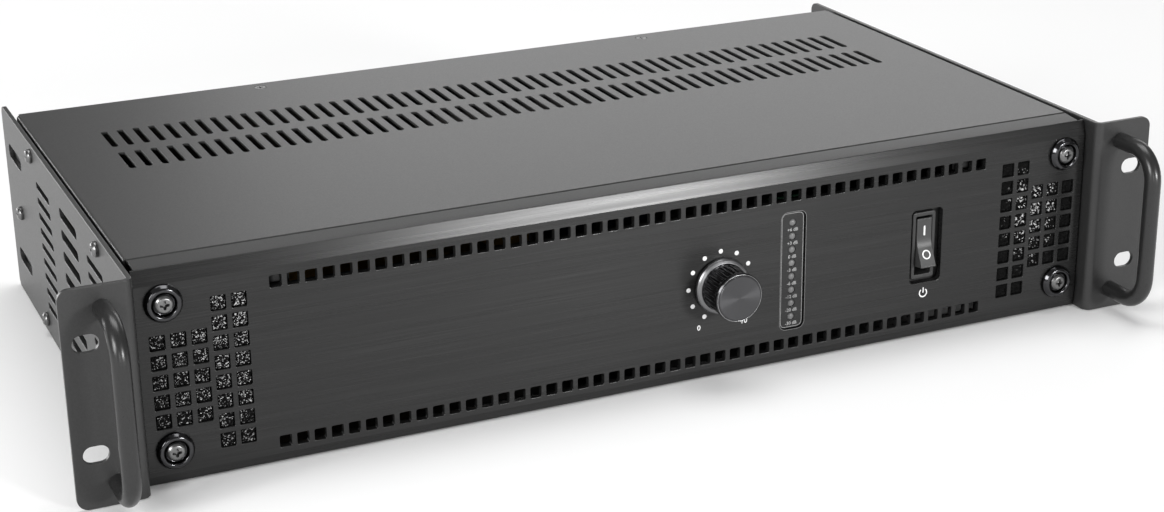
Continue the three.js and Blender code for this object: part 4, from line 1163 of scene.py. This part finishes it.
def ground_switch():
    x, z = GROUND.x, MID_Z
    front = slab(rect(x, z, 22, 9, 0.4), [rect(x, z, 12, 4.8, 0.2, 3)], BEHIND - 4.2, 4.2)
    return joined(front, bar(x, z, 22, 9, BEHIND - 8, BEHIND - 4.2))


def ground_slider():
    """A shoe inside the switch, with a grooved nub for a fingernail."""
    box = Box("ground_switch_slider")
    x, z = box.x, MID_Z
    nub = bar(x, z, 3.2, 3.6, box.y0 + 2.7, box.y1, 0.35)
    grooves = [bar(x + dx, z, 0.4, 6, box.y1 - 0.4, box.y1 + 1, 0.05, 1) for dx in (-0.8, 0, 0.8)]
    return joined(bar(x, z, 6.8, 4.2, box.y0, box.y0 + 3.3, 0.2), cut(nub, *grooves))


TERMINAL_COUNT = 5
TERMINAL_PITCH = 11.0
TERMINAL_HALF = TERMINAL_COUNT * TERMINAL_PITCH / 2
TERMINAL_Y = SKIN + 7
HINGE_Y = EAR_Y + 246.8
HINGE_Z = MID_Z + 12.5


def terminal_block():
    """A barrier strip with a wall on both sides of each terminal."""
    x, z = TERMINALS.x, MID_Z
    wall_y = HINGE_Y - 2.2
    parts = [bar(x, z, 2 * TERMINAL_HALF + 2, 22, SKIN, TERMINAL_Y, 0.5)]
    for wall in spread(TERMINAL_COUNT + 1, TERMINAL_PITCH, x):
        parts.append(bar(wall, z, 1.8, 22, TERMINAL_Y - 0.5, wall_y, 0.35))
    lug = [(TERMINAL_Y - 0.5, z + 2), (wall_y, z + 2), (HINGE_Y + 2, HINGE_Z - 1.5)]
    lug += [(HINGE_Y + 2, HINGE_Z + 2), (TERMINAL_Y + 4, HINGE_Z + 2), (TERMINAL_Y - 0.5, z + 11)]
    for start in (x - TERMINAL_HALF - 1, x + TERMINAL_HALF - 1):
        ear = sheet(fillet(lug, 0.6, 3), [circle(HINGE_Y, HINGE_Z, 1.3, 20)], 2, 0.25)
        parts.append(sideways(ear, start))
    parts.append(bar(x, z, 2 * TERMINAL_HALF - 8, 6, REAR.y1 - 8, SKIN + 0.5))
    return joined(*parts)


def terminal_screws():
    """A slotted screw on a clamping plate for each terminal."""
    outline = fillet([(0, -0.6), (3.2, -0.6), (3.2, 1.7), (2.6, 2.1), (0, 2.1)], [0, 0, 0.3, 0.3, 0], 3)
    parts = []
    for x in spread(TERMINAL_COUNT, TERMINAL_PITCH, TERMINALS.x):
        head = lathe(outline, BACK, (x, TERMINAL_Y, MID_Z), 36)
        slit = bar(x, MID_Z, 8, 0.8, TERMINAL_Y + 1.4, TERMINAL_Y + 5, 0.05, 1)
        plate = bar(x, MID_Z, 8, 10, TERMINAL_Y - 0.2, TERMINAL_Y + 0.3, 0.15)
        parts += [cut(head, slit), plate]
    return joined(*parts)


def terminal_lid():
    """A ribbed flap that hangs from its barrel, with a pin at each end and a grip along its foot."""
    x, z = TERMINALS.x, MID_Z
    half = TERMINAL_HALF - 1.4
    parts = [block(x - half, x + half, HINGE_Y - 1.1, HINGE_Y + 0.5, z - 12, HINGE_Z, 0.4)]
    for radius, end, steps in ((1.8, half, 32), (1.1, half + 1.8, 24)):
        profile = [(0, -end), (radius, -end), (radius, end), (0, end)]
        parts.append(lathe(profile, RIGHT, (x, HINGE_Y, HINGE_Z), steps))
    parts.append(bar(x, z - 11.2, 16, 1.6, HINGE_Y + 0.3, HINGE_Y + 2, 0.35))
    for rib in spread(4, TERMINAL_PITCH, x):
        parts.append(bar(rib, z, 1, 18, HINGE_Y + 0.4, HINGE_Y + 0.9, 0.2))
    return joined(*parts)


# ---- Inside ----


def toroid():
    """A ring with rounded edges that shows its winding's turns."""
    box = Box("mains_transformer")
    outline = [(17, 0), (58, 0), (58, box.height), (17, box.height)]

    def turns(radius, along, angle):
        return radius + 0.45 * (math.sin(angle * 36) ** 2 - 0.5) * (1 if radius > 37 else -1)

    return lathe(fillet(outline, [5, 11, 11, 5], 8), UP, (box.x, box.y, box.z0), 288, turns)


def capacitor(node):
    """A can with a groove round its foot."""
    box = Box(node)
    outline = [(0, 0), (14.9, 0), (14.9, 3.2), (14.4, 3.9), (14.9, 4.6), (14.9, box.height), (0, box.height)]
    return lathe(fillet(outline, [0, *[0.5] * 5, 0], 4), UP, (box.x, box.y, box.z0), 48)


# ---- Assembly of the front, top and sides ----

piece("chassis_tray_shell", chassis_tray(), CASE_BLACK, "chassis_tray")
piece("rear_panel_sheet", rear_panel(), CASE_BLACK, "rear_panel")
piece("top_cover_sheet", top_cover(), CASE_BLACK, "top_cover")
piece("side_plate_right_sheet", side_plate(), CASE_BLACK, "side_plate_right")
piece("side_plate_left_sheet", mirrored(side_plate()), CASE_BLACK, "side_plate_left")
piece("front_fascia_plate", front_fascia(), FASCIA_BLACK, "front_fascia", smooth_below=12)

for side, place in HANDLES.items():
    piece(f"handle_{side}_bar", handle(place), HANDLE_BLACK, f"handle_{side}")

for i, washer in enumerate(WASHERS, 1):
    piece(f"cup_washer_{i}", cup_washer(washer), BLACK_CHROME, f"fascia_washer_{i}")
    head = pan_screw(FRONT, (washer.x, FASCIA.y0, washer.z), *FASCIA_SCREW)
    piece(f"panel_screw_{i}", head, DULL_NICKEL, f"fascia_screw_{i}")

for i, screw in enumerate(SIDE_SCREWS, 1):
    for side, sign, basis in (("right", 1, RIGHT), ("left", -1, LEFT)):
        head = pan_screw(basis, (sign * (PLATE.x0 + PLATE_T), screw.y, screw.z), *SIDE_SCREW)
        piece(f"plate_screw_{side}_{i}", head, DULL_NICKEL, f"side_screw_{side}_{i}")

for i, place in enumerate(COVER_SCREWS, 1):
    head = flat_screw((place.x, place.y, COVER.z1), 2.75, 1.4)
    piece(f"cover_flat_screw_{i}", head, HANDLE_BLACK, f"cover_screw_{i}")

# The foams carry painted glints and a painted pool of light.
for side, sign in (("left", -1), ("right", 1)):
    piece(f"filter_foam_{side}", filter_foam(sign), FOAMS[side], f"filter_{side}", smooth_below=60)

piece("knob_barrel", knob(), KNOB_DARK, "volume_knob", "volume_control", 25)
piece("knob_spun_face", knob_face(), KNOB_FACE, body="volume_control")
# The skirt's lighter metal is partly painted light.
piece("knob_skirt", knob_skirt(), KNOB_SKIRT_LIT, body="volume_control")
# Painted highlight along the knob's front edge.
piece("knob_edge_highlight", painted_edge_highlight(10.05, KNOB_HEIGHT - 0.5, 0.16), KNOB_EDGE_HIGHLIGHT, body="volume_control")

piece("switch_bezel", switch_housing(), BLACK_PLASTIC, "power_switch_housing")
piece("switch_rocker", rocker(), SWITCH_PLASTIC, "power_rocker", "rocker")
on_mark = sheet(rect(0, 0, 0.8, 4.4, 0.2), [], MARK_T, 0.02, 0)
off_mark = sheet(circle(0, 0, 2.05, 40), [circle(0, 0, 1.5, 40)], MARK_T, 0.02, 0)
piece("rocker_on_mark", rocker_mark(on_mark, MARK_Z), INK, body="rocker")
piece("rocker_off_mark", rocker_mark(off_mark, -MARK_Z), INK, body="rocker")

piece("display_overlay", overlay(), FASCIA_BLACK, "led_overlay")
piece("display_lamps", lamp_strip(), LAMP, "led_lens_strip")
piece("display_frame", display_line(10.3, 51.3, 2.2, LAMPS.y0 - 0.05), DIM_INK)
# Painted highlight: a thin ring of lighter metal all the way round the window.
piece("display_edge_highlight", display_line(12.2, 53.2, 3.2, FASCIA.y0 - 0.03), EDGE_HIGHLIGHT_METAL)
labels = [number(text, LAMPS.x, z - LABEL_DROP, LABEL_HEIGHT) for text, z in zip(LEVELS, lamp_heights())]
piece("display_print", print_on(joined(*labels), LAMPS.y0), DIM_INK)
piece("dial_print", print_on(dial(), FASCIA.y0), INK)
piece("switch_print", print_on(power_symbol(SWITCH.x, 20.4, 2.1, 0.55), FASCIA.y0), INK)

# ---- Assembly of the rear ----

piece("inlet_housing", mains_inlet(), BLACK_PLASTIC, "mains_inlet")
piece("inlet_pins", inlet_blades(), NICKEL)
piece("fuse_drawer_tray", fuse_drawer(), SWITCH_PLASTIC, "fuse_drawer", "fuse_holder")
piece("xlr_shell", xlr_shell(), NICKEL, "xlr_input")
piece("xlr_insert", xlr_insert(), BLACK_PLASTIC)
piece("xlr_push_tab", xlr_latch(), BLACK_PLASTIC, "xlr_latch", "latch")
piece("jack_body", jack_body(), BLACK_PLASTIC, "link_jack")
piece("jack_nut", jack_nut(), NICKEL)
piece("ground_switch_frame", ground_switch(), NICKEL, "ground_switch_body")
piece("ground_slider", ground_slider(), SWITCH_PLASTIC, "ground_switch_slider", "ground_lift")
piece("terminal_strip", terminal_block(), BLACK_PLASTIC, "terminal_block")
piece("terminal_screws", terminal_screws(), ZINC)
piece("terminal_lid", terminal_lid(), SWITCH_PLASTIC, "terminal_cover", "terminal_lid")

heads = [pan_screw(BACK, (x, SKIN + INLET_FLANGE, z), *REAR_SCREW) for x, z in INLET_SCREWS]
heads += [pan_screw(BACK, (x, SKIN + XLR_FLANGE, z), *REAR_SCREW) for x, z in XLR_SCREWS]
piece("rear_screws", joined(*heads), ZINC)

fixings = []
for place in HANDLES.values():
    for z in (place.z0 + ROD, place.z1 - ROD):
        fixings.append(pan_screw(BACK, (place.x, EAR_Y + PLATE_T, z), *HANDLE_SCREW))
piece("handle_screws", joined(*fixings), ZINC)

# ---- Assembly of the inside ----

# Painted shade: a dark sheet inside the right side plate, behind some of its vents, that keeps the inside
# there in shade.
SHADE_SHEET_X = 204.0
vent_shade_sheet = sheet(rect(51, 41, 66, 76, 2), [], 1.0, 0.15)
piece("vent_shade_sheet", sideways(vent_shade_sheet, SHADE_SHEET_X), SHADED_INNER_BLACK)
piece("toroid_winding", toroid(), TAPE, "mains_transformer")
for i in (1, 2):
    piece(f"capacitor_can_{i}", capacitor(f"capacitor_{i}"), SLEEVE, f"capacitor_{i}")

CARRIED_OVER = {
    "front_subpanel": SHADED_INNER_BLACK,
    "fan_frame_left": BLACK_PLASTIC,
    "fan_frame_right": BLACK_PLASTIC,
    "fan_impeller_left": BLACK_PLASTIC,
    "fan_impeller_right": BLACK_PLASTIC,
    "potentiometer": NICKEL,
    "potentiometer_shaft": NICKEL,
    "led_board": BOARD_GREEN,
    "transformer_clamp": ZINC,
    "output_transformer_core": LAMINATION,
    "output_transformer_coil": TAPE,
    "heat_sink": HANDLE_BLACK,
    "amplifier_board": BOARD_GREEN,
}
for node, finish in CARRIED_OVER.items():
    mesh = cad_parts[node].data
    mesh.materials.clear()
    mesh.materials.append(finish[0])

# ---- Camera, floor and lights ----

CAMERA_PLACE = (-0.3655, -0.8508, 0.36975)
CAMERA_DEGREES = (69.547, 0.730, -24.347)
FLOOR_GAP = 0.0004

camera_data = bpy.data.cameras.new("camera")
camera_data.lens = 67.4
camera_data.sensor_width = 36
camera = bpy.data.objects.new("camera", camera_data)
camera.location = CAMERA_PLACE
camera.rotation_euler = [math.radians(angle) for angle in CAMERA_DEGREES]
SCENE.collection.objects.link(camera)
SCENE.camera = camera

floor_mesh = bmesh.new()
bmesh.ops.create_grid(floor_mesh, x_segments=1, y_segments=1, size=6)
floor = as_object(floor_mesh, "floor")
floor.location.z = -FLOOR_GAP
pale = bpy.data.materials.new("pale_floor")
pale.use_nodes = True
paint = pale.node_tree.nodes["Principled BSDF"].inputs
paint["Base Color"].default_value = (0.86, 0.86, 0.86, 1)
paint["Roughness"].default_value = 0.9
floor.data.materials.append(pale)


def softbox(name, place, target, width, height, watts):
    data = bpy.data.lights.new(name, "AREA")
    data.shape = "RECTANGLE"
    data.size = width
    data.size_y = height
    data.energy = watts
    lamp = bpy.data.objects.new(name, data)
    lamp.location = place
    lamp.rotation_euler = (Vector(target) - Vector(place)).to_track_quat("-Z", "Y").to_euler()
    SCENE.collection.objects.link(lamp)


softbox("overhead", (0.1, 0.2, 1.9), (0, 0, 0), 1.6, 1.0, 24)
softbox("front_card", (0.95, -2.3, 0.52), (0, -0.1, 0.06), 0.45, 0.30, 36)
softbox("front_left", (-1.7, -1.0, 0.85), (0, 0, 0.05), 0.8, 0.8, 30)
softbox("low_front", (-0.6, -2.15, 0.36), (0, -0.1, 0.05), 0.30, 0.6, 5)
softbox("back_card", (1.45, 1.95, 0.86), (0, 0, 0.08), 2.4, 0.7, 12)
softbox("back_left", (-1.1, 1.5, 0.25), (-0.2, 0, 0.05), 1.0, 0.5, 12)

world = bpy.data.worlds.new("studio")
SCENE.world = world
world.use_nodes = True
sky = world.node_tree.nodes["Background"].inputs
sky["Color"].default_value = (1, 1, 1, 1)
sky["Strength"].default_value = 0.25
SCENE.view_settings.view_transform = "Standard"
